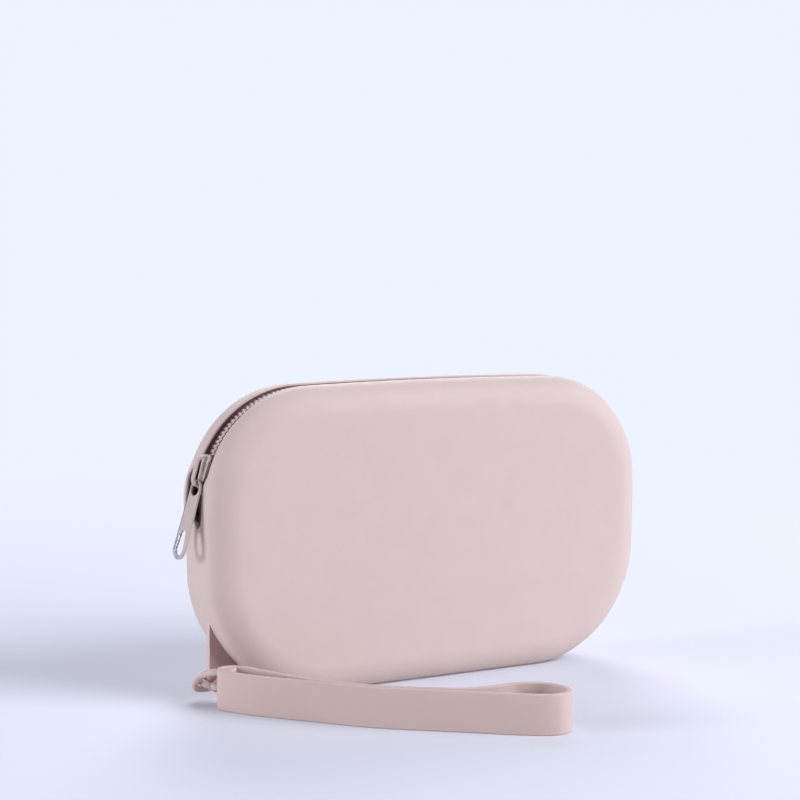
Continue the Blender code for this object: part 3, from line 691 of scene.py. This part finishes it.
def nylon(name, colour):
    """The coil's plastic thread: a little shine, and drawn marks along it."""
    s = Surface(name, {"Roughness": 0.38})
    tone = s.mix(s.spread(s.noise(scale=900), NOISE_MIDDLE), shade(colour, 0.86), colour)
    shine = s.spread(s.noise(scale=1400), NOISE_WIDE, to=(0.3, 0.5))
    return s.finish(tone, shine, s.bump(s.noise(scale=3000), depth=0.00003, strength=0.4))


def paint(name, colour):
    """Sprayed paint on metal: orange peel, small nicks and a little dirt."""
    s = Surface(name, {"Roughness": 0.4, "Coat Weight": 0.2, "Coat Roughness": 0.3})
    tone = s.mix(s.spread(s.noise(scale=400, detail=3), NOISE_MIDDLE), shade(colour, 0.9), colour)
    tone = s.mix(s.spread(s.noise(scale=2100), NOISE_NICKS), tone, linear(NICK_GREY))
    shine = s.spread(s.noise(scale=700), NOISE_WIDE, to=(0.32, 0.5))
    return s.finish(tone, shine, s.bump(s.noise(scale=1300), depth=0.00004, strength=0.5))


def steel(name, dull, bright, metallic):
    """Bare metal where the paint stops: fine brush marks and duller patches."""
    s = Surface(name, {"Roughness": 0.25, "Metallic": metallic})
    tone = s.mix(s.spread(s.noise(scale=600, detail=3), NOISE_PATCHES), linear(dull), linear(bright))
    shine = s.spread(s.noise(scale=1600, detail=3), NOISE_WIDE, to=(0.18, 0.42))
    return s.finish(tone, shine, s.bump(s.noise(scale=3200), depth=0.00002, strength=0.5))


shell_silicone = silicone("shell_silicone", linear(BODY_PINK))
strap_silicone = silicone("strap_silicone", linear(STRAP_PINK), STRAP_DUST)
# The shell's silicone in a darker pink for the lug's faces: painted shade
lug_shade_silicone = silicone("lug_shade_silicone", linear(LUG_SHADE_PINK))
tape_cloth = woven("tape_cloth")
coil_nylon = nylon("coil_nylon", linear(COIL_PINK))
thread_nylon = nylon("thread_nylon", linear(THREAD_PLUM))
pink_paint = paint("pink_paint", linear(PAINT_PINK))
# A dark plum paint that stands in for shade, as painted shade on the flanges and stops
plum_shade_paint = paint("plum_shade_paint", linear(PAINT_SHADE_PLUM))
bare_steel = steel("bare_steel", STEEL_DULL, STEEL_BRIGHT, metallic=1.0)
# A darker copy of the bare steel: painted shade on the pull's rear edge
shaded_steel = steel("shaded_steel", SHADE_STEEL_DULL, SHADE_STEEL_BRIGHT, metallic=0.3)


# Shell

def crest(depth):
    """How far the drafted side lies inside the widest section: rounded where the two halves meet."""
    return math.tan(DRAFT) * (math.hypot(depth, CREST) - CREST)


def ease(value, start, end):
    """From 0 at start to 1 at end, smoothly."""
    share = min(max((value - start) / (end - start), 0.0), 1.0)
    return share * share * (3 - 2 * share)


def lip_half_width(distance):
    """How far the lip stands from the middle plane. It is nothing where the shell is whole."""
    height = station(distance)[1]
    share = (height - SLIT_LOW) / (GROOVE_LOW - SLIT_LOW)
    if share <= 0:
        return 0.0
    wide = NARROW_SLIT + (GROOVE - NARROW_SLIT) * ease(height, NARROW_FULL, NARROW_TOP)
    return wide * min(1.0, share) ** TAPER_POWER


def flare(sign, distance, depth, inset, lip):
    """Where a point goes: on the rear half, out and back near the left lip beside the slider."""
    if sign < 0 or distance > 0:
        return depth, inset
    height = station(distance)[1]
    amount = ease(height, FLARE_TOP, FLARE_FULL_TOP) * ease(height, SLIT_LOW, FLARE_FULL_LOW)
    share = amount * ease(depth, FLARE_DEPTH, lip)
    return depth + FLARE_BACK * share, inset - FLARE_LIFT * share


def half_section(sign, distance):
    """(depth, inset) points from the outer face's edge, round the lip, to the inner face's edge."""
    band = (FRONT_DEPTH if sign < 0 else REAR_DEPTH) - EDGE_DEPTH
    lip = lip_half_width(distance)
    turn = min(LIP_ROUND, lip / 2)
    start = lip + turn
    top = crest(start)
    found = []
    for k in range(EDGE_STEPS):
        angle = math.pi / 2 * (1 - k / EDGE_STEPS)
        depth = band + EDGE_DEPTH * math.sin(angle)
        found.append((depth, crest(band) + EDGE_REACH * (1 - math.cos(angle))))
    for k in range(BAND_STEPS):
        depth = band + (start - band) * k / BAND_STEPS
        found.append((depth, crest(depth)))
    for k in range(ROUND_STEPS + 1):
        angle = math.pi / 2 * k / ROUND_STEPS
        found.append((start - turn * math.sin(angle), top + LIP_ROUND * (1 - math.cos(angle))))
    for k in range(ROUND_STEPS + 1):
        angle = math.pi / 2 * (1 - k / ROUND_STEPS)
        inset = top + WALL - LIP_ROUND * (1 - math.cos(angle))
        found.append((start - turn * math.sin(angle), inset))
    for k in range(1, BAND_STEPS + 1):
        depth = start + (band - start) * k / BAND_STEPS
        found.append((depth, crest(depth) + WALL))
    for k in range(1, EDGE_STEPS + 1):
        angle = math.pi / 2 * k / EDGE_STEPS
        depth = band + (EDGE_DEPTH - WALL) * math.sin(angle)
        found.append((depth, crest(band) + WALL + (EDGE_REACH - WALL) * (1 - math.cos(angle))))
    return [flare(sign, distance, depth, inset, lip) for depth, inset in found]


def half_skin(name, sign):
    """Half of the shell, outside and inside, from its face to the lip of the groove."""
    count = int(2 * HALF_ROUND / STATION_STEP)
    places = [-HALF_ROUND + 2 * HALF_ROUND * k / count for k in range(count)]
    sections = [half_section(sign, place) for place in places]
    rings = []
    for k in range(len(sections[0])):
        lowest = 0 if k < len(sections[0]) / 2 else WALL
        ring = []
        for place, section in zip(places, sections):
            depth, inset = section[k]
            x, z, angle = station(place)
            height = max(z - inset * math.sin(angle), lowest)
            ring.append(Vector((x - inset * math.cos(angle), sign * depth, height)))
        rings.append(ring)
    middle_z = HEIGHT / 2
    outer, inner = [], []
    for k in range(1, FACE_STEPS):
        share = 1 - k / FACE_STEPS
        for edge, rows in ((rings[0], outer), (rings[-1], inner)):
            rows.append([Vector((p.x * share, p.y, middle_z + (p.z - middle_z) * share)) for p in edge])
    item = mesh_object(name, skin(list(reversed(outer)) + rings + inner), [shell_silicone])
    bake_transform(item)
    return item


def make_lug():
    corner = (LUG_EDGE + LUG_CORNER_RADIUS, LUG_LOW + LUG_CORNER_RADIUS)
    points = arc_points(corner, LUG_CORNER_RADIUS, math.pi, 1.5 * math.pi, LUG_CORNER_STEPS)
    points += [(LUG_EDGE + LUG_ROOT, LUG_LOW), (LUG_EDGE, LUG_LOW + LUG_ROOT)]
    radius = NECK_DIAMETER / 2 + LUG_SLOT_PLAY
    slot_x = LUG_EDGE + LUG_SLOT_OFFSET
    slot = arc_points((slot_x, SLOT_HIGH), radius, 0, math.pi, LUG_SLOT_STEPS)
    slot += arc_points((slot_x, SLOT_LOW), radius, math.pi, 2 * math.pi, LUG_SLOT_STEPS)
    upright = Matrix.Rotation(math.pi / 2, 4, "X")
    finishes = [shell_silicone, lug_shade_silicone]
    item = flat_plate("lug_plate", [points, slot], LUG_THICKNESS, upright, finishes)
    round_edges(item, LUG_ROUND)
    apply_modifiers(item)
    # The lug's front and rear faces take the darker pink, which is painted shade
    for face in item.data.polygons:
        face.material_index = int(abs(face.normal.y) > LUG_FACE_SHARE)
    settle(item, "shell")


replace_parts(half_skin("front_skin", -1), "lower_shell", "front_upper_shell")
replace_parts(half_skin("rear_skin", 1), "rear_upper_shell")
make_lug()


# Zip

def cloth_strip(name, near, far, count, section, body, node=None):
    """A strip of the tape's cloth, from the (depth, lift, place across) corners that section gives."""
    rings, places = [], []
    for k in range(count + 1):
        distance = near + (far - near) * k / count
        corners = section(distance)
        rings.append([on_path(distance, depth, lift) for depth, lift, _ in corners])
        places += [(distance, across) for _, _, across in corners]
    item = mesh_object(name, skin(rings), [tape_cloth])
    layer = item.data.uv_layers.new(name="path")
    for loop in item.data.loops:
        layer.data[loop.index].uv = places[loop.vertex_index]
    settle(item, body, node)


def make_tape(name, sign, body, node):
    band = (FRONT_DEPTH if sign < 0 else REAR_DEPTH) - EDGE_DEPTH
    top = []
    for k in range(TAPE_BAND_STEPS + 1):
        depth = TAPE_INNER + (band - TAPE_INNER) * k / TAPE_BAND_STEPS
        top.append((depth, -WALL - SEAT_GAP - math.tan(DRAFT) * depth))
    for k in range(1, TAPE_EDGE_STEPS + 1):
        angle = math.pi / 4 * k / TAPE_EDGE_STEPS
        inset = band * math.tan(DRAFT) + WALL + SEAT_GAP + (EDGE_REACH - WALL) * (1 - math.cos(angle))
        top.append((band + (EDGE_DEPTH - WALL) * math.sin(angle), -inset))
    under = [(depth, lift - TAPE_THICKNESS) for depth, lift in reversed(top)]
    corners = [(sign * depth, lift, depth) for depth, lift in top + under]
    count = int(2 * TAPE_HALF / TAPE_STEP)
    cloth_strip(name, -TAPE_HALF, TAPE_HALF, count, lambda distance: corners, body, node)


def make_lining(name, sign, body):
    """A thin sheet of the tape's cloth against the groove's wall, so that the wall shows dark plum rather
    than pink.
    """
    foot, edge = -WALL - SEAT_GAP, -LINING_TOP - LINING

    def section(distance):
        lip = lip_half_width(distance)
        near, far = lip - LINING, lip - LINING / 4
        corners = [(near, foot), (near, edge), (lip - LINING / 2, -LINING_TOP), (far, edge), (far, foot)]
        moved = [flare(sign, distance, depth, -lift, lip) for depth, lift in corners]
        return [(sign * depth, -inset, lift) for (depth, inset), (_, lift) in zip(moved, corners)]
    reach = TAPE_HALF - TAPE_STEP
    cloth_strip(name, -reach, reach, int(2 * reach / TAPE_STEP), section, body)


def make_tape_end(name, side):
    """The two tapes' ends, joined across the slit beyond the stops."""
    high, low = -TAPE_END_DEPTH, -TAPE_END_DEPTH - TAPE_THICKNESS

    def section(distance):
        half = lip_half_width(distance) - 2 * LINING
        return [(-half, high, -half), (half, high, half), (half, low, half), (-half, low, -half)]
    near, far = side * (STOPS_TO + SEAT_GAP), side * TAPE_HALF
    cloth_strip(name, near, far, int((TAPE_HALF - STOPS_TO) / TAPE_STEP), section, "shell")


def make_coil(name, sign, body, node):
    """One row: a thread in flattened loops, whose heads mesh with the other row's past the middle."""
    low = -WALL - COIL_SINK + COIL_WIRE / 2
    high = -WALL + COIL_HEIGHT - COIL_WIRE / 2
    turns = int((2 * CHAIN_HALF - COIL_PITCH) / COIL_PITCH)
    first = -turns * COIL_PITCH / 2 + sign * COIL_PITCH / 4
    outer, head = sign * (COIL_OUTER - COIL_WIRE / 2), -sign * (COIL_HEAD - COIL_WIRE / 2)
    middle_y, reach = (outer + head) / 2, (outer - head) / 2
    middle_z, tall = (low + high) / 2, (high - low) / 2
    points = []
    for k in range(turns * COIL_TURN_POINTS + 1):
        turn = k / COIL_TURN_POINTS
        across = bulged(math.cos(2 * math.pi * turn), COIL_LEG_POWER)
        up = bulged(math.sin(2 * math.pi * turn), COIL_TIP_POWER)
        points.append(on_path(first + COIL_PITCH * turn, middle_y + reach * across, middle_z + tall * up))
    loops = skin(tube_rings(points, COIL_WIRE / 2, COIL_SIDES))
    settle(mesh_object(name, loops, [coil_nylon], WOUND_DEGREES), body, node)


def make_thread(name, depth, body):
    """A sewing thread that holds the coil down, dipping between its loops."""
    count = int(2 * CHAIN_HALF / COIL_PITCH) * THREAD_STEPS
    points = []
    for k in range(count + 1):
        distance = -CHAIN_HALF + 2 * CHAIN_HALF * k / count
        dip = THREAD_DIP * math.cos(2 * math.pi * k / THREAD_STEPS)
        points.append(on_path(distance, depth, -WALL + COIL_HEIGHT - COIL_SINK + dip))
    thread = skin(tube_rings(points, THREAD_RADIUS, THREAD_SIDES))
    settle(mesh_object(name, thread, [thread_nylon], WOUND_DEGREES), body)


def make_stop(name, near, far, inner, outer):
    low, high = -WALL, -WALL + COIL_HEIGHT
    corners = ((inner, low), (outer, low), (outer, high), (inner, high))
    rings = []
    for k in range(STOP_STEPS + 1):
        distance = near + (far - near) * k / STOP_STEPS
        rings.append([on_path(distance, depth, lift) for depth, lift in corners])
    # The stops in dark plum paint: painted shade in the slit's dark wedge
    item = mesh_object(name + "_block", skin(rings), [plum_shade_paint])
    round_edges(item, STOP_ROUND)
    apply_modifiers(item)
    settle(item, "shell", name)


for side_name, side_sign in (("front", -1), ("rear", 1)):
    flap = side_name + "_flap"
    make_tape(side_name + "_tape_cloth", side_sign, flap, side_name + "_tape")
    make_coil(side_name + "_coil_loops", side_sign, flap, side_name + "_coil")
    make_thread(side_name + "_coil_thread", side_sign * THREAD_PLACE, flap)
    make_lining(side_name + "_groove_lining", side_sign, flap)
make_tape_end("top_tape_end", -1)
make_tape_end("bottom_tape_end", 1)
make_stop("front_top_stop", -STOPS_FROM, -STOPS_TO, -STOP_EDGE, -STOP_OUTER)
make_stop("rear_top_stop", -STOPS_FROM, -STOPS_TO, STOP_EDGE, STOP_OUTER)
make_stop("bottom_stop", STOPS_FROM, STOPS_TO, -STOP_OUTER, STOP_OUTER)


# Slider and pull. In the slider's own frame x is outwards from the corner's centre, z to its nose

def seat_on_slider(item, node=None):
    apply_modifiers(item)
    item.data.transform(SLIDER_FRAME)
    keep_rest(item.data)
    settle(item, "slider", node)


def make_slider_plate(name, low, high, shares, node=None):
    half, wide = SLIDER_LENGTH / 2, SLIDER_NOSE_WIDTH / 2
    side = [(wide * across, half * along) for along, across in shares]
    points = side + [(-y, z) for y, z in reversed(side)]
    rings = [[(TOP_CORNER_RADIUS + lift, y, z) for y, z in points] for lift in (low, high)]
    item = mesh_object(name, skin(rings), [pink_paint])
    round_edges(item, METAL_ROUND)
    seat_on_slider(item, node)


def make_slider_walls():
    """The flanges along both sides and the post at the nose, sunk into the plates, in dark plum paint
    that is painted shade.
    """
    base = TOP_CORNER_RADIUS
    half = SLIDER_LENGTH / 2
    sink = SLIDER_PLATE / 2
    channel = STOP_OUTER + SLIDER_SIDE_PLAY
    flange_low = base - WALL - SEAT_GAP + FLANGE_TAPE_PLAY
    flange_end = half - SLIDER_PLATE
    top = base + OUTER_LOW + sink
    boxes = []
    for sign in (-1, 1):
        low_y, high_y = sorted((sign * channel, sign * (SLIDER_TAIL_WIDTH / 2 - FLANGE_INSET)))
        boxes.append(((flange_low, low_y, -flange_end), (top, high_y, flange_end)))
    post_low = (base + INNER_HIGH - sink, -POST_WIDTH / 2, half - POST_LENGTH)
    boxes.append((post_low, (top, POST_WIDTH / 2, half - METAL_ROUND * 2)))

    def build(bm):
        for low, high in boxes:
            size = [b - a for a, b in zip(low, high)]
            middle = Matrix.Translation([(a + b) / 2 for a, b in zip(low, high)])
            bmesh.ops.create_cube(bm, size=1, matrix=middle @ Matrix.Diagonal((*size, 1)))
    item = mesh_object("slider_walls", build, [plum_shade_paint])
    round_edges(item, METAL_ROUND)
    seat_on_slider(item)


def make_slider_strip(name, route, width, thickness, sharp_degrees, node):
    """A strip with rounded sides along (x, z) points in the slider's middle plane."""
    rings = []
    for k, place in enumerate(route):
        before, after = route[max(k - 1, 0)], route[min(k + 1, len(route) - 1)]
        along = Vector((after[0] - before[0], after[1] - before[1])).normalized()
        side = Vector((-along[1], along[0]))
        ring = []
        for j in range(STRIP_SIDES):
            angle = 2 * math.pi * (j + 0.5) / STRIP_SIDES
            y = bulged(math.cos(angle), STRIP_POWER) * width / 2
            t = bulged(math.sin(angle), STRIP_POWER) * thickness / 2
            ring.append((place[0] + t * side[0], y, place[1] + t * side[1]))
        rings.append(ring)
    seat_on_slider(mesh_object(name, skin(rings), [pink_paint], sharp_degrees), node)


def crown_route():
    """Over the slider's middle, from its tail to its nose."""
    plate = TOP_CORNER_RADIUS + OUTER_HIGH
    foot = plate + SEAT_GAP
    top = foot + CROWN_CLEARANCE + CROWN_THICKNESS / 2
    tail_radius = top - foot
    tail = (foot, -CROWN_LEG + tail_radius)
    nose = (top - CROWN_BEND_RADIUS, CROWN_LEG - CROWN_BEND_RADIUS)
    route = [(plate, -CROWN_LEG)]
    route += arc_points(tail, tail_radius, -math.pi / 2, 0, CROWN_TAIL_STEPS)
    route += arc_points(nose, CROWN_BEND_RADIUS, 0, math.pi / 2, CROWN_NOSE_STEPS)
    return route + [(plate, CROWN_LEG)]


def spring_route():
    """Along the outer plate under the crown, with its end bent into the slider."""
    seat = TOP_CORNER_RADIUS + OUTER_HIGH + SPRING_THICKNESS / 2
    bend = SPRING_THICKNESS * SPRING_BEND_SHARE
    route = [(seat, -SPRING_LENGTH), (seat, -SPRING_THICKNESS), (seat - bend, -bend)]
    return route + [(seat - SPRING_THICKNESS, 0)]


def pull_matrix():
    """From the pull's own plane, with its eye at the centre, to where it hangs on the crown."""
    spot = SLIDER_FRAME @ Matrix.Translation((TOP_CORNER_RADIUS + PULL_LIFT, 0, PULL_ALONG))
    lean = Matrix.Rotation(-(math.pi + SLIDER_ANGLE) + PULL_LEAN, 4, "Y")
    drop = Matrix.Translation((0, 0, -PULL_EYE_RADIUS - PULL_EYE_RIM / 2))
    twist = Matrix.Rotation(PULL_TWIST, 4, "Z")
    turn = Matrix(((0, 0, 1, 0), (1, 0, 0, 0), (0, 1, 0, 0), (0, 0, 0, 1)))
    return spot @ lean @ drop @ twist @ turn


def split_faces(mesh, cuts):
    """Splits the faces along planes, each a point and a direction, so that finishes can meet there."""
    bm = bmesh.new()
    bm.from_mesh(mesh)
    for point, direction in cuts:
        parts = bm.verts[:] + bm.edges[:] + bm.faces[:]
        bmesh.ops.bisect_plane(bm, geom=parts, plane_co=point, plane_no=direction)
    bm.to_mesh(mesh)
    bm.free()


def make_pull():
    """A flat tab with an eye and an open ring, its paint worn off on the ring, and its rear edge bare
    steel in a darker tone as painted shade.
    """
    top_r = PULL_EYE_RADIUS + PULL_EYE_RIM
    end_y = -(PULL_LENGTH - PULL_END_RADIUS)
    splay = math.asin((PULL_END_RADIUS - top_r) / -end_y)
    edge = arc_points((0, 0), top_r, -splay, math.pi + splay, PULL_STEPS)
    edge += arc_points((0, end_y), PULL_END_RADIUS, math.pi + splay, 2 * math.pi - splay, PULL_STEPS)
    eye = arc_points((0, 0), PULL_EYE_RADIUS, 0, 2 * math.pi, PULL_STEPS)[:-1]
    low_r = PULL_END_RADIUS - PULL_RING_WALL
    high_r = PULL_OPENING_TOP / 2
    high_y = end_y + PULL_OPENING_LENGTH - low_r - high_r
    slant = math.asin((low_r - high_r) / (high_y - end_y))
    opening = arc_points((0, high_y), high_r, slant, math.pi - slant, PULL_STEPS // 2)
    opening += arc_points((0, end_y), low_r, math.pi - slant, 2 * math.pi + slant, PULL_STEPS)
    finishes = [pink_paint, bare_steel, shaded_steel]
    item = flat_plate("pull_plate", [edge, eye, opening], PULL_THICKNESS, Matrix.Identity(4), finishes)
    round_edges(item, PULL_ROUND)
    apply_modifiers(item)
    mesh = item.data
    shaded_edge_line = Vector((top_r - PULL_SHADED_EDGE, 0, 0))
    outward = Vector((math.cos(splay), math.sin(splay), 0))
    cuts = [(shaded_edge_line, outward), (Vector((0, high_y, 0)), Vector((0, 1, 0)))]
    cuts += [(Vector((x, 0, 0)), Vector((1, 0, 0))) for x in (-low_r / 2, low_r)]
    split_faces(mesh, cuts)
    for face in mesh.polygons:
        place = face.center
        # The band along the rear edge takes the darker steel, which is painted shade
        if (place - shaded_edge_line).dot(outward) > 0:
            face.material_index = finishes.index(shaded_steel)
        elif place.y < high_y and place.x > -low_r / 2:
            face.material_index = finishes.index(bare_steel)
    mesh.transform(pull_matrix())
    keep_rest(mesh)
    settle(item, "pull", "pull_tab")


make_slider_plate("slider_outer_plate", OUTER_LOW, OUTER_HIGH, OUTER_PLATE_SHARES, "slider_body")
make_slider_plate("slider_inner_plate", INNER_LOW, INNER_HIGH, INNER_PLATE_SHARES)
make_slider_walls()
make_slider_strip(
    "slider_crown_bail", crown_route(), CROWN_WIDTH, CROWN_THICKNESS, ROUNDED_DEGREES, "slider_crown",
)
make_slider_strip(
    "spring_strip", spring_route(), SPRING_WIDTH, SPRING_THICKNESS, SHARP_DEGREES, "lock_spring",
)
make_pull()


# Strap and neck

def strap_point(shares):
    reach, bow, way, bulge = shares
    sideways = -bow * STRAP_BOW + way * (STRAP_THICKNESS + bulge * STRAP_BULGE)
    return STRAP_START + STRAP_ALONG * reach * STRAP_REACH + STRAP_ACROSS * sideways


def make_strap():
    route = smooth_path([strap_point(shares) for shares in STRAP_SHARES], STRAP_STEPS, closed=True)
    half_t, half_h, cut = STRAP_THICKNESS / 2, STRAP_HEIGHT / 2, STRAP_EDGE_ROUND
    section = []
    for quarter, (sx, sz) in enumerate(((1, 1), (-1, 1), (-1, -1), (1, -1))):
        centre = (sx * (half_t - cut), sz * (half_h - cut))
        start = math.pi / 2 * quarter
        section += arc_points(centre, cut, start, start + math.pi / 2, STRAP_EDGE_STEPS)
    rings = []
    for k, place in enumerate(route):
        along = (route[(k + 1) % len(route)] - route[k - 1]).normalized()
        side = Vector((along.y, -along.x, 0))
        rings.append([place + side * t + Vector((0, 0, half_h + h)) for t, h in section])
    band = skin(rings, closed_along=True)
    item = mesh_object("wrist_strap_band", band, [strap_silicone], ROUNDED_DEGREES)
    settle(item, "strap", "wrist_strap")


def make_strap_web():
    """The solid web that closes the loop beside the lug, a little lower than the band's edges."""
    corners = [strap_point(shares) for shares in STRAP_WEB_CORNERS]
    rings = []
    for height in (STRAP_END_INSET, STRAP_HEIGHT - STRAP_END_INSET):
        rings.append([(corner.x, corner.y, height) for corner in corners])
    item = mesh_object("wrist_strap_web", skin(rings), [strap_silicone], ROUNDED_DEGREES)
    round_edges(item, STRAP_END_ROUND)
    apply_modifiers(item)
    settle(item, "strap")


def neck_route():
    """From the strap's closed end, through the lug's slot and twice round its edge, and back."""
    middle_x = LUG_EDGE + (LUG_SLOT_OFFSET - NECK_DIAMETER / 2 - LUG_SLOT_PLAY) / 2
    inner = LUG_EDGE + LUG_SLOT_OFFSET - middle_x
    radius = NECK_DIAMETER / 2
    outer = middle_x - LUG_EDGE + radius + NECK_SLACK
    front = LUG_THICKNESS / 2 + radius + NECK_PLAY
    face = strap_point(STRAP_CLOSED_END) - STRAP_ALONG * (STRAP_THICKNESS / 2 - SEAT_GAP)
    lead = face - STRAP_ALONG * NECK_LEAD
    route = [(face.x, face.y, NECK_TOP), (lead.x, lead.y, NECK_TOP)]
    for k, (reach, height) in enumerate(NECK_TURN_SHARES):
        angle = -math.pi * 3 / 4 - k * math.pi / 4
        side = (inner if math.cos(angle) > 0 else outer) * reach
        route.append((middle_x + side * math.cos(angle), front * math.sin(angle), NECK_TOP * height))
    low = NECK_TOP * NECK_LOW_SHARE
    route.append((middle_x + inner * NECK_EXIT_SHARE, -front, NECK_TOP * NECK_EXIT_HEIGHT_SHARE))
    route += [(lead.x, lead.y, low), (face.x, face.y, low)]
    return smooth_path(route, NECK_STEPS)


def make_neck():
    cord = skin(tube_rings(neck_route(), NECK_DIAMETER / 2, NECK_SIDES))
    item = mesh_object("strap_neck_cord", cord, [strap_silicone], ROUNDED_DEGREES)
    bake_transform(item)
    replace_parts(item, "strap_neck")


make_strap()
make_strap_web()
make_neck()


# Camera, floor and light

def make_camera():
    forward = Vector(CAMERA_FORWARD).normalized()
    right = forward.cross(Vector((0, 0, 1))).normalized()
    up = right.cross(forward)
    c, s = math.cos(CAMERA_ROLL), math.sin(CAMERA_ROLL)
    right, up = right * c + up * s, up * c - right * s
    data = bpy.data.cameras.new("photo_camera")
    data.lens = CAMERA_LENS
    data.sensor_width = CAMERA_SENSOR
    data.sensor_fit = "HORIZONTAL"
    data.clip_start = CAMERA_CLIP
    item = put_in_scene("photo_camera", data)
    turn = Matrix((right, up, -forward)).transposed().to_4x4()
    item.matrix_world = Matrix.Translation(CAMERA_PLACE) @ turn
    bpy.context.scene.camera = item


def make_floor():
    """A pale floor that keeps the pouch's shadow and turns into the backdrop away from it."""
    def build(bm):
        bmesh.ops.create_grid(bm, x_segments=FLOOR_CELLS, y_segments=FLOOR_CELLS, size=FLOOR_HALF)
    s = Surface("floor_paper", {"Roughness": 0.9, "Specular IOR Level": 0.1})
    shown = s.shown()
    s.give(s.shader, "Base Color", s.mix(shown, linear(FLOOR_BOUNCE), linear(FLOOR_BLUE)))
    backdrop = s.put("ShaderNodeEmission")
    fill = shade(linear(FILL_WHITE), FILL_STRENGTH)
    s.give(backdrop, "Color", s.mix(shown, fill, linear(BACKDROP_BLUE)))
    away = s.put("ShaderNodeVectorMath", operation="LENGTH")
    s.give(away, 0, s.rest())
    share = s.spread(away.outputs["Value"], FLOOR_FADE)
    blend = s.mix_shaders(share, s.shader.outputs[0], backdrop.outputs[0])
    s.give(s.tree.nodes["Material Output"], "Surface", blend)
    mesh_object("floor", build, [s.made])


def make_world():
    """The backdrop where it is seen, and a weaker fill light elsewhere."""
    world = bpy.data.worlds.new("studio")
    bpy.context.scene.world = world
    world.use_nodes = True
    nodes = Nodes(world.node_tree)
    fill = nodes.tree.nodes["Background"]
    nodes.give(fill, "Color", linear(FILL_WHITE))
    nodes.give(fill, "Strength", FILL_STRENGTH)
    backdrop = nodes.put("ShaderNodeBackground")
    nodes.give(backdrop, "Color", linear(BACKDROP_BLUE))
    blend = nodes.mix_shaders(nodes.shown(), fill.outputs[0], backdrop.outputs[0])
    nodes.give(nodes.tree.nodes["World Output"], "Surface", blend)


def make_lamp(name, azimuth, elevation, size, power):
    """A round lamp that faces the pouch. Azimuth 0 is to the right, and 90 behind."""
    data = bpy.data.lights.new(name, "AREA")
    data.shape = "DISK"
    data.size = size
    data.energy = power
    item = put_in_scene(name, data)
    turn, rise = math.radians(azimuth), math.radians(elevation)
    way = Vector((math.cos(turn) * math.cos(rise), math.sin(turn) * math.cos(rise), math.sin(rise)))
    item.location = Vector((0, 0, HEIGHT / 2)) + way * LAMP_DISTANCE
    item.visible_camera = False
    item.rotation_euler = way.to_track_quat("Z", "Y").to_euler()


bpy.context.scene.view_settings.view_transform = "Standard"
make_camera()
make_floor()
make_world()
for lamp in LAMPS:
    make_lamp(*lamp)
